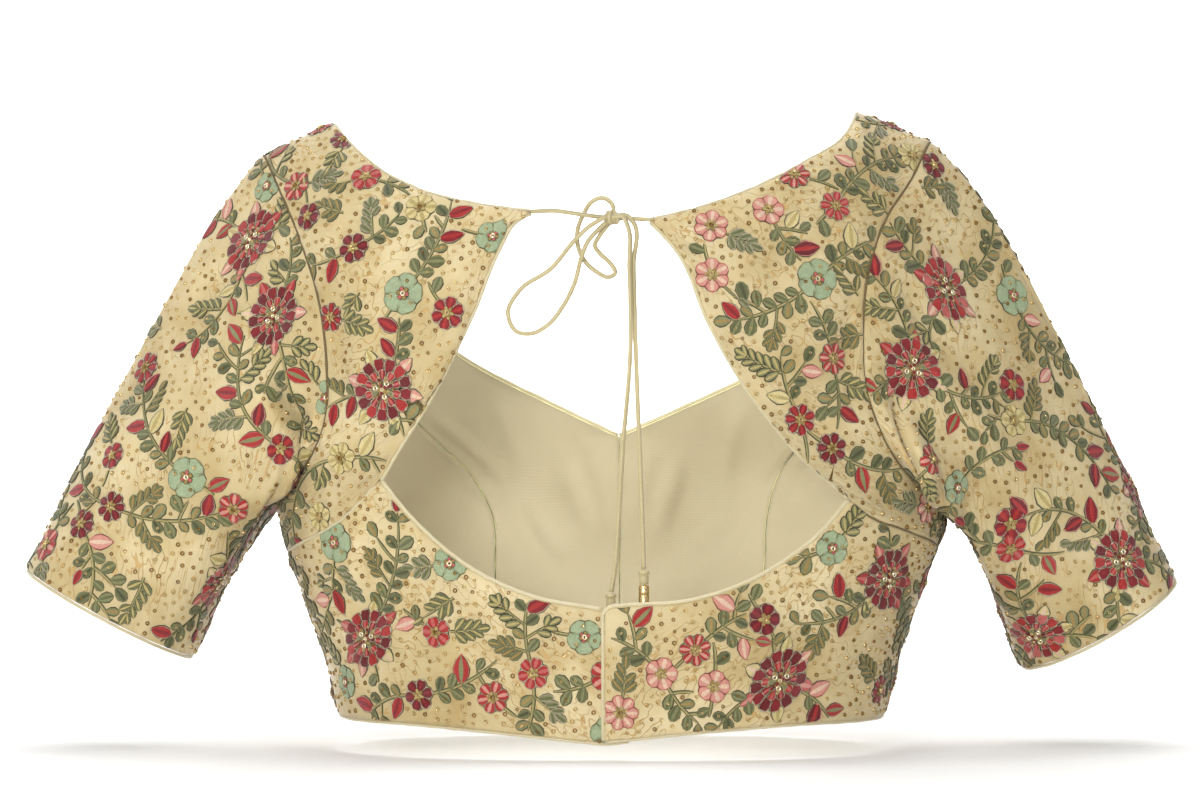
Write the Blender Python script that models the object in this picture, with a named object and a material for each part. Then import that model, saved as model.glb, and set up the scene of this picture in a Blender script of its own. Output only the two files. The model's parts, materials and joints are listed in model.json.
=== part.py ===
"""Sari blouse with a keyhole back, tied at the nape with a cord, hollow as if worn.

The wearer faces +Y and stands along +Z, and +X is the wearer's right. The origin is on
the midline, at the height of the inner ends of the shoulder seams. Tables and sizes are
in millimetres, and the meshes are built in metres.
"""
import bpy
import numpy as np
from math import pi

MM = 0.001

# Body form: half width, depth behind and depth in front of the side seams, by height
LEVELS = {
    "z":          (-340, -300, -255, -222, -185, -140, -90, -40, 0),
    "half_width": (147, 155.5, 171, 182, 184, 180, 180, 186, 196),
    "back":       (99, 102, 104, 105, 106, 106, 104, 100, 96),
    "front":      (98, 100, 100, 98, 98, 94, 86, 76, 70),
}
HEM_Z = -340.0
CAP_HEIGHT = 125.0
CAP_START = 0.523
ROUNDNESS = 2.3
SHOULDER_START = 143.0
SHOULDER_DROP = 0.43
SHOULDER_TILT = 0.018
LEAN = -8.5
LEAN_TOP = -60.0
UNDERARM_Z = -212.0
BUST_X = 81.0
BUST_Z = -212.0
BUST_RISE = 24.0
BUST_WIDTH = 50.0
BUST_HEIGHT = 46.0
HEM_SIDE_Z = -327.6
HEM_DIP = 8.4
HEM_DIP_REACH = 110.0

# Cloth
SHELL = 1.5
LINING = 1.0
SEAM_GAP = 0.4
LAYER_GAP = 0.3
PIPING_RADIUS = 1.1
EDGING_RADIUS = 0.9

# Placket: the right band laps over the left one at the centre back
LAP_LIFT = 1.1
LAP_EDGE_LEFT = 14.0
LAP_EDGE_RIGHT = -1.5
LAP_RAMP = 14.0

# A place past the form's width lies on the side seam, and one above it on the shoulder seam
SIDE = 400.0
RIDGE = 30.0

# Finished lines, piping included, as x, z seen from behind
LINES = {
    "left": {
        "neck_back": ((-152, RIDGE), (-144, -9), (-123, -28), (-100, -40), (-67, -48.5), (-35, -54)),
        "keyhole": ((-35, -54), (-46, -62), (-54, -76), (-66, -107), (-87, -150), (-117, -198)),
        "armhole_back": ((-192, RIDGE), (-179, -42), (-166, -69), (-156, -96), (-150, -135),
                         (-153, -174), (-165, -195), (-SIDE, UNDERARM_Z)),
        "flap_seam": ((-SIDE, -240), (-169, -234), (-143, -220), (-117, -198)),
        "band_top": ((-117, -198), (-97, -221), (-71, -242), (-37, -257.5), (-2, -264), (LAP_EDGE_LEFT, -267)),
        "neck_front": ((-152, RIDGE), (-149, -38), (-138, -72), (-118, -104), (-92, -126), (-34, -157), (0, -174)),
        "armhole_front_centre": ((-192, RIDGE), (-178, -48), (-164, -80), (-155, -108), (-150, -130)),
        "armhole_front_side": ((-150, -130), (-148, -152), (-153, -176), (-166, -198), (-SIDE, UNDERARM_Z)),
        "princess": ((-150, -130), (-113, -170), (-82, -204), (-73, -222), (-71, -253), (-70, -335)),
    },
    "right": {
        "neck_back": ((134, RIDGE), (125, -12), (104, -26), (82, -38), (50, -50.5), (20, -58.5)),
        "keyhole": ((20, -58.5), (28, -67), (38, -79), (54, -116), (77, -155), (104, -188), (127, -208.5)),
        "armhole_back": ((175, RIDGE), (165, -33), (150, -57), (140, -87), (137, -118),
                         (140, -155), (153, -185), (168, -203), (SIDE, UNDERARM_Z)),
        "flap_seam": ((SIDE, -237), (160, -225), (141, -217), (127, -208.5)),
        "band_top": ((127, -208.5), (107, -230), (76, -249.5), (42, -260), (10, -262), (2, -263), (LAP_EDGE_RIGHT, -267)),
        "neck_front": ((134, RIDGE), (136, -32), (131, -66), (116, -102), (92, -128), (35, -158), (0, -174)),
        "armhole_front_centre": ((175, RIDGE), (164, -40), (151, -72), (142, -104), (138, -132)),
        "armhole_front_side": ((138, -132), (138, -152), (144, -174), (158, -196), (SIDE, UNDERARM_Z)),
        "princess": ((138, -132), (116, -168), (93, -197), (86, -218), (84, -250), (82, -335)),
    },
}

# Grid steps along each kind of line
STEPS = {
    "armhole_back": 19, "armhole_front_centre": 6, "armhole_front_side": 7,
    "side_flap": 2, "side_band": 8, "flap_seam": 6, "band_top": 13, "shoulder": 8,
    "keyhole": 12, "neck_back": 7, "centre_front": 7, "princess": 10,
}

# Sleeves: middle of the cuff, direction of the arm, cuff's half width and half depth
SLEEVES = {
    "left": {"cuff": (-277, 0, -272), "axis": (-0.47, 0.0, -0.88), "half_width": 51.5, "half_depth": 46, "puff": 0.85},
    "right": {"cuff": (269, 40, -278), "axis": (0.50, 0.14, -0.86), "half_width": 49, "half_depth": 46, "puff": 1.1},
}
SLEEVE_ROWS = (0, 0.015, 0.04, 0.08, 0.13, 0.2, 0.29, 0.4, 0.53, 0.68, 0.84, 1.0)
# Start of the sleeve by turn around the arm (0 top, 1 underarm): shares of the body's own
# direction, of the way out of it and of the arm's direction, and each end's pull by length
SLEEVE_HEAD = {
    "turn":  (0.0, 0.25, 0.5, 0.75, 1.0),
    "along": (0.75, 0.8, 0.7, 0.45, 0.15),
    "out":   (0.0, 0.1, 0.3, 0.7, 1.0),
    "arm":   (0.75, 0.6, 0.5, 0.3, 0.1),
    "start": (0.62, 0.60, 0.50, 0.40, 0.42),
    "end":   (0.55, 0.55, 0.55, 0.55, 0.50),
}
# Armpit folds: turn and its spread (back is positive), place along the sleeve and its spread, height
FOLDS = {
    "left": ((0.60, 0.07, 0.16, 0.14, -7), (0.76, 0.08, 0.14, 0.16, 6), (-0.66, 0.08, 0.16, 0.16, -6),
             (0.50, 0.06, 0.42, 0.16, 3)),
    "right": ((0.58, 0.07, 0.15, 0.14, -5), (0.74, 0.09, 0.16, 0.16, 8), (-0.64, 0.08, 0.15, 0.16, -6),
              (0.46, 0.06, 0.40, 0.18, 3)),
}

FOLD_START = 0.16

# Tie cord: x, y, z route points, each from the knot or the flap outwards
CORD_RADIUS = 1.3
LOOP_STEP = 5.0
TAIL_STEP = 7.8
KNOT_CENTRE = (3.4, -88.0, -58.4)
KNOT_SIZE = (5.0, 4.2, 3.9)
KNOT_GAP = 0.9
ROUTES = {
    "cord_lead_left": ((-26, -87.6, -54.8), (-12, -89.2, -56.8), (0, -88.4, -58.2)),
    "cord_lead_right": ((16, -84.8, -58.9), (11, -84.6, -58.6), (5, -85.2, -58.4)),
    "cord_loop_large": (
        (1, -91.0, -58.0), (-7.5, -92.2, -62.9), (-15.7, -92.6, -70.7), (-28.7, -93, -86), (-44.8, -93, -97),
        (-51.2, -92.6, -109.3), (-46.7, -92, -119), (-38.5, -91.6, -120), (-30, -91.4, -115.5), (-22.3, -91, -106),
        (-15.8, -90.6, -93.2), (-12.4, -90.4, -80.3), (-9.2, -90, -71.9), (-4.4, -89.4, -65.9), (2, -88.6, -60)),
    "cord_loop_small": (
        (4.4, -87, -56.5), (4.6, -86.6, -53), (2.6, -86, -49.6), (-1.6, -85.4, -47.8), (-7.2, -84.8, -50),
        (-11.2, -84.4, -56), (-14.7, -84.2, -65.5), (-13.2, -84.4, -77), (-9.2, -85, -83.2), (-4.2, -85.4, -87.3),
        (2.2, -85.6, -90), (5.6, -85.4, -88), (3.4, -85, -83.2), (-3, -84.8, -77), (-5.4, -84.8, -73),
        (-3.2, -85.2, -68.6), (2.6, -86, -61)),
    "cord_tail_left": (
        (6, -91, -58), (9.8, -91.6, -58), (12, -91.6, -62), (13.3, -91.4, -85), (13.8, -91, -128.6),
        (9.5, -90.4, -184), (6.9, -90, -229), (5.4, -90, -247), (3.6, -90, -257.2)),
    "cord_tail_right": (
        (6, -88, -57.6), (11.6, -88.2, -57.2), (15, -88.2, -60.6), (15.4, -88, -84), (16.6, -88, -128.6),
        (19.3, -88, -201), (20.8, -88, -245)),
}
STOPPERS = {"left": (3.4, -90.0, -257.8), "right": (20.9, -88.0, -245.6)}
# Turned profiles as radius and height below the top
STOPPER_PROFILE = ((1.6, 0), (3.0, -0.9), (3.0, -2.1), (2.4, -2.9), (2.5, -7.4), (2.1, -7.8))
CAP_PROFILE = ((2.2, -8.1), (2.7, -8.7), (2.8, -20.2), (2.3, -20.8))

COLOURS = {
    "embroidered_silk": ((0.72, 0.62, 0.43), 0.6, 0.0),
    "lining_satin": ((0.66, 0.61, 0.42), 0.45, 0.0),
    "piping_satin": ((0.80, 0.73, 0.52), 0.45, 0.0),
    "tie_cord": ((0.78, 0.71, 0.50), 0.6, 0.0),
    "brass": ((0.78, 0.58, 0.30), 0.3, 1.0),
}


def clear_scene():
    for thing in list(bpy.data.objects):
        bpy.data.objects.remove(thing, do_unlink=True)


def material(name):
    """The named material, made on first use."""
    found = bpy.data.materials.get(name)
    if found:
        return found
    colour, roughness, metallic = COLOURS[name]
    made = bpy.data.materials.new(name)
    made.use_nodes = True
    shader = made.node_tree.nodes["Principled BSDF"]
    shader.inputs["Base Color"].default_value = (*colour, 1.0)
    shader.inputs["Roughness"].default_value = roughness
    shader.inputs["Metallic"].default_value = metallic
    return made


def smooth_step(t):
    t = np.clip(t, 0.0, 1.0)
    return t * t * (3.0 - 2.0 * t)


def smooth_table(value, places, sizes):
    """A smooth curve through a short table, flat past its ends."""
    places = np.asarray(places, float)
    sizes = np.asarray(sizes, float)
    slopes = np.gradient(sizes, places)
    value = np.clip(value, places[0], places[-1])
    i = np.clip(np.searchsorted(places, value, side="right") - 1, 0, len(places) - 2)
    step = places[i + 1] - places[i]
    t = (value - places[i]) / step
    rise = t * t * (3 - 2 * t)
    start = t * (1 - t) ** 2
    end = t * t * (t - 1)
    return sizes[i] + (sizes[i + 1] - sizes[i]) * rise + step * (slopes[i] * start + slopes[i + 1] * end)


def unit(vectors):
    return vectors / np.maximum(np.linalg.norm(vectors, axis=-1, keepdims=True), 1e-9)


def form_size(name, z):
    return smooth_table(z, LEVELS["z"], LEVELS[name])


def ring_level(v):
    """Height and depth factor of a ring: upright walls, then a quarter ellipse to the shoulder."""
    wall = HEM_Z + (-CAP_HEIGHT - HEM_Z) * v / CAP_START
    turn = np.maximum(v - CAP_START, 0) / (1 - CAP_START) * pi / 2
    low = v <= CAP_START
    return np.where(low, wall, -CAP_HEIGHT * (1 - np.sin(turn))), np.where(low, 1.0, np.cos(turn))


def upper_share(z):
    """0 at the underarm and below, 1 at the shoulders."""
    return smooth_step((z - UNDERARM_Z) / -UNDERARM_Z)


def shoulder_shift(x, z):
    """How far the shoulders' slope and tilt lower a point."""
    return upper_share(z) * (SHOULDER_TILT * x - SHOULDER_DROP * np.maximum(np.abs(x) - SHOULDER_START, 0))


def lean(z):
    return LEAN * smooth_step((z - UNDERARM_Z) / (LEAN_TOP - UNDERARM_Z))


def bust(x, z, sine):
    """Forward rise of the two cups."""
    across = (np.abs(x) - BUST_X) / BUST_WIDTH
    up = (z - BUST_Z) / BUST_HEIGHT
    return BUST_RISE * np.exp(-across ** 2 - up ** 2) * smooth_step(sine * 3)


def body(places):
    """Points of the form from angle (0 right side, pi/2 front, -pi/2 back) and v (0 hem, 1 shoulder)."""
    angle = places[..., 0]
    z, cap = ring_level(places[..., 1])
    cosine = np.cos(angle)
    sine = np.sin(angle)
    reach = (np.abs(cosine) ** ROUNDNESS + np.abs(sine) ** ROUNDNESS) ** (-1 / ROUNDNESS)
    x = form_size("half_width", z) * reach * cosine
    depth = np.where(sine < 0, form_size("back", z), form_size("front", z))
    y = depth * cap * reach * sine + bust(x, z, sine)
    return np.stack([x + lean(z), y, z + shoulder_shift(x, z)], axis=-1)


def body_normal(places, step=1e-3):
    """Outward directions of the form."""
    around = body(places + (step, 0)) - body(places - (step, 0))
    up = body(places + (0, step)) - body(places - (0, step))
    return unit(np.cross(around, up))


def locate(x, z, side):
    """Angle and v of the form's point seen at x, z from behind; side is -1 behind, 1 in front."""
    height = z
    for _ in range(8):
        across = x - lean(height)
        height = z - shoulder_shift(across, height)
    share = np.clip(abs(across) / form_size("half_width", height), 1e-4, 1.0)
    angle = np.arctan((share ** -ROUNDNESS - 1) ** (1 / ROUNDNESS))
    if across < 0:
        angle = pi - angle
    if height <= -CAP_HEIGHT:
        v = (height - HEM_Z) / (-CAP_HEIGHT - HEM_Z) * CAP_START
    else:
        turn = np.arcsin(np.clip(1 + height / CAP_HEIGHT, -1, 1))
        v = CAP_START + (1 - CAP_START) * turn / (pi / 2)
    return side * angle, v


def run_lengths(points):
    return np.concatenate([[0.0], np.cumsum(np.linalg.norm(np.diff(points, axis=0), axis=1))])


def cut_line(points, steps, side):
    """Evenly spaced places along a smooth line through the listed x, z points."""
    table = np.array([locate(x, z, side) for x, z in points])
    chord = run_lengths(body(table))
    fine = np.linspace(0, chord[-1], 40 * len(points))
    places = np.stack([smooth_table(fine, chord, table[:, 0]), smooth_table(fine, chord, table[:, 1])], axis=-1)
    run = run_lengths(body(places))
    even = np.linspace(0, run[-1], steps + 1)
    return np.stack([np.interp(even, run, places[:, 0]), np.interp(even, run, places[:, 1])], axis=-1)


def hem_line(x_start, x_end, steps, side):
    """Places along the hem, which dips towards the centre."""
    width = float(form_size("half_width", HEM_SIDE_Z))
    points = []
    for x in np.linspace(np.clip(x_start, -width, width), x_end, 2 * steps):
        middle = np.clip(1 - abs(x) / HEM_DIP_REACH, 0, 1)
        points.append((x, HEM_SIDE_Z - HEM_DIP * middle ** 1.4))
    return cut_line(points, steps, side)


def joined(*lines):
    """Lines end to end, without the repeated places."""
    return np.concatenate([lines[0]] + [line[1:] for line in lines[1:]])


def corners(points):
    """Direction of a line at each point, and how much longer a mitred step aside is there."""
    steps = unit(np.diff(points, axis=0))
    before = np.concatenate([steps[:1], steps])
    after = np.concatenate([steps, steps[-1:]])
    along = unit(before + after)
    return along, 1 / np.maximum(np.sum(along * before, axis=1, keepdims=True), 0.6)


def set_back(points, amount):
    """A line of x, z points moved to its own side, with the corners mitred."""
    points = np.array(points, float)
    along, mitre = corners(points)
    return points + np.stack([-along[:, 1], along[:, 0]], axis=-1) * mitre * amount


def cut_table(hand):
    """The finished lines of one side, with the piped edges set back by the piping's width."""
    table = dict(LINES[hand])
    sign = -1 if hand == "left" else 1
    width = sign * (2 * PIPING_RADIUS + LAYER_GAP)
    names = ("neck_back", "keyhole", "band_top")
    sizes = [len(table[name]) for name in names]
    opening = set_back(table["neck_back"] + table["keyhole"][1:] + table["band_top"][1:], width)
    first, second = sizes[0], sizes[0] + sizes[1] - 1
    table["neck_back"] = opening[:first]
    table["keyhole"] = opening[first - 1:second]
    table["band_top"] = opening[second - 1:]
    table["flap_seam"] = np.array(table["flap_seam"][:-1] + (tuple(opening[second - 1]),))
    table["neck_front"] = set_back(table["neck_front"], width)
    table["neck_front"][0, 0] = table["neck_back"][0, 0]
    table["neck_front"][-1, 0] = 0.0
    return table


def panel_lines(hand):
    """All cut lines of one side of the blouse as places, running as in the table."""
    table = cut_table(hand)
    sign = -1 if hand == "left" else 1
    lines = {}
    for name in ("neck_back", "keyhole", "armhole_back", "flap_seam", "band_top"):
        lines[name] = cut_line(table[name], STEPS[name], -1)
    for name in ("armhole_front_centre", "armhole_front_side", "princess"):
        lines[name] = cut_line(table[name], STEPS[name], 1)
    rows = STEPS["side_band"] + STEPS["side_flap"]
    lines["neck_front"] = cut_line(table["neck_front"], rows + STEPS["armhole_front_centre"] - STEPS["centre_front"], 1)
    seam_z = table["flap_seam"][0][1]
    for side, ending in ((-1, "back"), (1, "front")):
        low = cut_line(((sign * SIDE, HEM_SIDE_Z), (sign * SIDE, seam_z)), STEPS["side_band"], side)
        high = cut_line(((sign * SIDE, seam_z), (sign * SIDE, UNDERARM_Z)), STEPS["side_flap"], side)
        lines["side_band_" + ending] = low
        lines["side_flap_" + ending] = high
        lines["shoulder_" + ending] = cut_line(
            (table["armhole_back"][0], table["neck_back"][0]), STEPS["shoulder"], side)
    centre_top = table["neck_front"][-1]
    princess_x, princess_z = table["princess"][-1]
    lines["princess"][-1] = hem_line(princess_x, princess_x + sign, 1, 1)[0]
    lines["hem_front_centre"] = hem_line(princess_x, 0, STEPS["shoulder"], 1)
    lines["hem_front_side"] = hem_line(sign * SIDE, princess_x, STEPS["armhole_front_side"], 1)
    low_centre = (0, HEM_SIDE_Z - HEM_DIP)
    lines["centre_front"] = cut_line((low_centre, centre_top), STEPS["centre_front"], 1)
    lap = table["band_top"][-1][0]
    steps = STEPS["flap_seam"] + STEPS["band_top"]
    lines["hem_back"] = hem_line(sign * SIDE, lap, steps, -1)
    lines["placket"] = cut_line(((lap, low_centre[1]), table["band_top"][-1]), STEPS["side_band"], -1)
    return lines


def patch(bottom, top, start, end):
    """Grid of places between four edges: start and end run from bottom to top."""
    s = np.linspace(0, 1, len(bottom))[None, :, None]
    t = np.linspace(0, 1, len(start))[:, None, None]
    ruled = (1 - t) * bottom[None] + t * top[None]
    crossed = (1 - s) * start[:, None] + s * end[:, None]
    corners = (1 - t) * ((1 - s) * bottom[0] + s * bottom[-1]) + t * ((1 - s) * top[0] + s * top[-1])
    return ruled + crossed - corners


def rim_shift(points, amount):
    """Moves of a grid's rim along the cloth and inwards, which leave half a seam's gap."""
    move = np.zeros_like(points)
    for axis in (0, 1):
        grid = np.swapaxes(points, 0, axis)
        shift = np.swapaxes(move, 0, axis)
        for row, inner in ((0, 1), (-1, -2)):
            along = unit(np.gradient(grid[row], axis=0))
            inward = grid[inner] - grid[row]
            inward = unit(inward - np.sum(inward * along, axis=-1, keepdims=True) * along)
            shift[row] += inward * amount
    return move


def make_object(name, vertices, faces, slot):
    mesh = bpy.data.meshes.new(name)
    mesh.from_pydata([tuple(float(c) * MM for c in p) for p in vertices], [], faces)
    mesh.validate()
    mesh.materials.append(material(slot))
    mesh.shade_smooth()
    thing = bpy.data.objects.new(name, mesh)
    bpy.context.scene.collection.objects.link(thing)
    return thing


def wall(name, outer, inner, slot, ring=False):
    """Closed solid between two grids; with ring the columns close on themselves."""
    rows, columns = outer.shape[:2]
    count = rows * columns
    faces = []
    spans = columns if ring else columns - 1

    def quad(a, b, c, d):
        faces.append((a, b, c))
        faces.append((a, c, d))

    for i in range(rows - 1):
        for j in range(spans):
            k = (j + 1) % columns
            a, b, c, d = i * columns + j, i * columns + k, (i + 1) * columns + k, (i + 1) * columns + j
            quad(a, b, c, d)
            faces.append((count + a, count + c, count + b))
            faces.append((count + a, count + d, count + c))
    for j in range(spans):
        k = (j + 1) % columns
        top = (rows - 1) * columns
        quad(j, count + j, count + k, k)
        quad(top + j, top + k, count + top + k, count + top + j)
    if not ring:
        for i in range(rows - 1):
            a, b = i * columns, (i + 1) * columns
            quad(a, b, count + b, count + a)
            a, b = a + columns - 1, b + columns - 1
            quad(a, count + a, count + b, b)
    vertices = np.concatenate([outer.reshape(-1, 3), inner.reshape(-1, 3)])
    normal = np.cross(outer[0, 1] - outer[0, 0], outer[1, 0] - outer[0, 0])
    if np.dot(normal, outer[0, 0] - inner[0, 0]) < 0:
        faces = [face[::-1] for face in faces]
    return make_object(name, vertices, faces, slot)


def lap_offset(points, hand):
    """Distance out of the form of the bands where one laps over the other."""
    x = points[..., 0]
    if hand == "left":
        return -LAP_LIFT * smooth_step((x - LAP_EDGE_RIGHT + 4.5 + LAP_RAMP) / LAP_RAMP)
    return LAP_LIFT * smooth_step((LAP_EDGE_LEFT + 4.0 + LAP_RAMP - x) / LAP_RAMP)


def cloth(name, places, slot, inside=0.0, thickness=SHELL, offset=None):
    """Cloth wall on the form: the middle of a shell follows it, a lining lies inside."""
    points = body(places)
    normals = body_normal(places)
    middle = -inside if offset is None else offset(points)[..., None] - inside
    points = points + normals * middle
    shift = rim_shift(points, SEAM_GAP / 2)
    half = normals * thickness / 2
    wall(name, points + shift + half, points + shift - half, slot)
    return points


def tube(name, points, radius, slot, resolution=1, cyclic=False):
    curve = bpy.data.curves.new(name, "CURVE")
    curve.dimensions = "3D"
    curve.bevel_depth = radius * MM
    curve.bevel_resolution = resolution
    curve.use_fill_caps = not cyclic
    spline = curve.splines.new("POLY")
    spline.points.add(len(points) - 1)
    for knot, point in zip(spline.points, points):
        knot.co = (*[float(c) * MM for c in point], 1.0)
    spline.use_cyclic_u = cyclic
    spline.use_smooth = True
    curve.materials.append(material(slot))
    thing = bpy.data.objects.new(name, curve)
    bpy.context.scene.collection.objects.link(thing)
    return thing


def trimmed(points, start, end):
    """A line of points shortened at its ends by lengths in millimetres."""
    run = run_lengths(points)
    inside = run[(run > start + 1) & (run < run[-1] - end - 1)]
    kept = np.concatenate([[start], inside, [run[-1] - end]])
    return np.stack([np.interp(kept, run, points[:, i]) for i in range(3)], axis=-1)


def edge_piping(name, edge, inner, radius, start=0.0, end=0.0, resolution=1):
    """Piping that lies just past a cloth edge; inner is the grid line next to the edge.

    Gives back the piping's first point.
    """
    along, mitre = corners(edge)
    outward = edge - inner
    outward = unit(outward - np.sum(outward * along, axis=-1, keepdims=True) * along)
    centre = trimmed(edge + outward * mitre * (radius + LAYER_GAP - SEAM_GAP / 2), start, end)
    tube(name, centre, radius, "piping_satin", resolution)
    return centre[0]


def back_panels(hand, lines):
    """Upper back flap and lower back band of one side, with their piping.

    Gives back the band's grid and the end of the neck piping, where the tie cord starts.
    """
    low = joined(lines["side_flap_back"][::-1], lines["flap_seam"])
    inner = joined(lines["keyhole"][::-1], lines["neck_back"][::-1])
    flap = patch(low, lines["shoulder_back"], lines["armhole_back"][::-1], inner)
    points = cloth("back_flap_" + hand, flap, "embroidered_silk")
    turn = STEPS["keyhole"]
    edge, beside = points[:, -1], points[:, -2]
    edge_piping("piping_keyhole_" + hand, edge[:turn + 1], beside[:turn + 1], PIPING_RADIUS, 2.5, 4.0)
    tip = edge_piping("piping_neck_back_" + hand, edge[turn:], beside[turn:], PIPING_RADIUS, 0.5, 1.5)

    top = joined(lines["flap_seam"], lines["band_top"])
    band = patch(lines["hem_back"], top, lines["side_band_back"], lines["placket"])
    points = cloth("back_band_" + hand, band, "embroidered_silk", offset=lambda p: lap_offset(p, hand))
    start = STEPS["flap_seam"]
    top_edge, beside = points[-1, start:], points[-2, start:]
    if hand == "right":
        top_edge = np.concatenate([top_edge, points[-2::-1, -1]])
        beside = np.concatenate([beside, points[-2::-1, -2]])
        beside[len(points[-1, start:]) - 1] = points[-3, -3]
        edge_piping("piping_band_right", top_edge, beside, PIPING_RADIUS, 2.5, 0.5)
    else:
        edge_piping("piping_band_left", top_edge, beside, PIPING_RADIUS, 2.5, LAP_EDGE_LEFT - LAP_EDGE_RIGHT + 4.0)
    return points, tip


def front_panels(hand, lines):
    """Front centre and front side panels of one side, each with its lining."""
    outer = joined(lines["princess"][::-1], lines["armhole_front_centre"][::-1])
    inner = joined(lines["centre_front"], lines["neck_front"][::-1])
    centre = patch(lines["hem_front_centre"], lines["shoulder_front"], outer, inner)
    outer = joined(lines["side_band_front"], lines["side_flap_front"])
    side = patch(lines["hem_front_side"], lines["armhole_front_side"][::-1], outer, lines["princess"][::-1])
    depth = SHELL / 2 + LAYER_GAP + LINING / 2
    grids = {}
    for name, places in (("front_centre_", centre), ("front_side_", side)):
        grids[name] = cloth(name + hand, places, "embroidered_silk")
        cloth("lining_" + name + hand, places, "lining_satin", inside=depth, thickness=LINING)
    start = STEPS["centre_front"]
    points = grids["front_centre_"]
    edge_piping("piping_neck_front_" + hand, points[start:, -1], points[start:, -2], PIPING_RADIUS, 2.0, 1.5)
    return grids


def hem_edging(hand, band, grids):
    """Narrow edging under the hem, from the placket around to the centre front."""
    rows = [band[:2, ::-1], grids["front_side_"][:2, 1:], grids["front_centre_"][:2, 1:]]
    edge = np.concatenate([row[0] for row in rows])
    above = np.concatenate([row[1] for row in rows])
    edge_piping("edging_hem_" + hand, edge, above, EDGING_RADIUS, 0.5, 0.3, resolution=0)


def armhole_ring(lines):
    """Armhole points from the shoulder down the back, through the underarm and up the front."""
    back = lines["armhole_back"]
    front = joined(lines["armhole_front_side"][::-1], lines["armhole_front_centre"][::-1])
    places = np.concatenate([back[:-1], front[:-1]])
    points = body(places)
    normals = body_normal(places)
    half = len(back) - 1
    turn = np.concatenate([np.linspace(0, 1, half + 1)[:-1], -np.linspace(1, 0, len(front))[:-1]])
    return points, normals, turn


def arm_frame(row):
    """Directions of a sleeve: along the arm, outwards over its top, and to the back."""
    axis = unit(np.array(row["axis"], float))
    outwards = np.array([np.sign(axis[0]), 0.0, 0.0])
    over = unit(outwards - np.dot(outwards, axis) * axis)
    behind = np.cross(axis, over)
    if behind[1] > 0:
        behind = -behind
    return axis, over, behind


def sleeve(hand, lines):
    """Elbow sleeve lofted from the armhole to the cuff, with the armpit's largest folds."""
    row = SLEEVES[hand]
    ring, normals, turn = armhole_ring(lines)
    axis, over, behind = arm_frame(row)
    along_ring = unit(np.roll(ring, -1, axis=0) - np.roll(ring, 1, axis=0))
    off_body = unit(np.cross(along_ring, normals))
    underarm = len(lines["armhole_back"]) - 1
    if off_body[underarm, 2] < 0:
        off_body = -off_body
    share = {key: smooth_table(np.abs(turn), SLEEVE_HEAD["turn"], SLEEVE_HEAD[key])[:, None]
             for key in ("along", "out", "arm", "start", "end")}
    leave = unit(share["along"] * off_body + share["out"] * normals + share["arm"] * axis)
    leave = unit(leave - np.sum(leave * along_ring, axis=1, keepdims=True) * along_ring)
    bend = np.abs(np.sum(leave * normals, axis=1, keepdims=True))
    start = ring + off_body * (SEAM_GAP + SHELL / 2 * bend)
    angle = (turn * pi)[:, None]
    cuff = np.array(row["cuff"]) + over * row["half_width"] * np.cos(angle) + behind * row["half_depth"] * np.sin(angle)

    length = np.linalg.norm(cuff - start, axis=1, keepdims=True)
    leave = leave * length * share["start"] * (1 + (row["puff"] - 1) * np.cos(angle / 2))
    arrive = axis * length * share["end"]

    t = np.array(SLEEVE_ROWS)[:, None, None]
    points = ((2 * t ** 3 - 3 * t ** 2 + 1) * start + (t ** 3 - 2 * t ** 2 + t) * leave
              + (3 * t ** 2 - 2 * t ** 3) * cuff + (t ** 3 - t ** 2) * arrive)
    slope = ((6 * t ** 2 - 6 * t) * start + (3 * t ** 2 - 4 * t + 1) * leave
             + (6 * t - 6 * t ** 2) * cuff + (3 * t ** 2 - 2 * t) * arrive)
    around = np.roll(points, -1, axis=1) - np.roll(points, 1, axis=1)
    outward = unit(np.cross(around, slope))
    if np.dot(outward[-1, 0], over) < 0:
        outward = -outward
    height = np.zeros(points.shape[:2])
    for place, spread, down, reach, rise in FOLDS[hand]:
        height += rise * np.exp(-((turn[None] - place) / spread) ** 2 - ((t[..., 0] - down) / reach) ** 2)
    height *= smooth_step(t[..., 0] / FOLD_START)
    points = points + outward * height[..., None]
    half = outward * SHELL / 2
    wall("sleeve_" + hand, points + half, points - half, "embroidered_silk", ring=True)
    centre = points[-1] + axis * (EDGING_RADIUS + LAYER_GAP)
    tube("edging_cuff_" + hand, centre, EDGING_RADIUS, "piping_satin", resolution=0, cyclic=True)


def smooth_route(points, step):
    """Points about a step apart on a smooth curve through the route's own points."""
    points = np.array(points, float)
    run = run_lengths(points)
    count = max(4, int(run[-1] / step))
    even = np.linspace(0, run[-1], count + 1)
    return np.stack([smooth_table(even, run, points[:, i]) for i in range(3)], axis=-1)


def clear_of_knot(points, step):
    """The stretch of a route that lies clear of the knot, with points a step apart."""
    size = np.array(KNOT_SIZE) + KNOT_GAP
    reach = np.linalg.norm((points - np.array(KNOT_CENTRE)) / size, axis=1)
    points = points[reach > 1.0]
    run = run_lengths(points)
    even = np.linspace(0, run[-1], int(np.ceil(run[-1] / step)) + 1)
    return np.stack([np.interp(even, run, points[:, i]) for i in range(3)], axis=-1)


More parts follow.
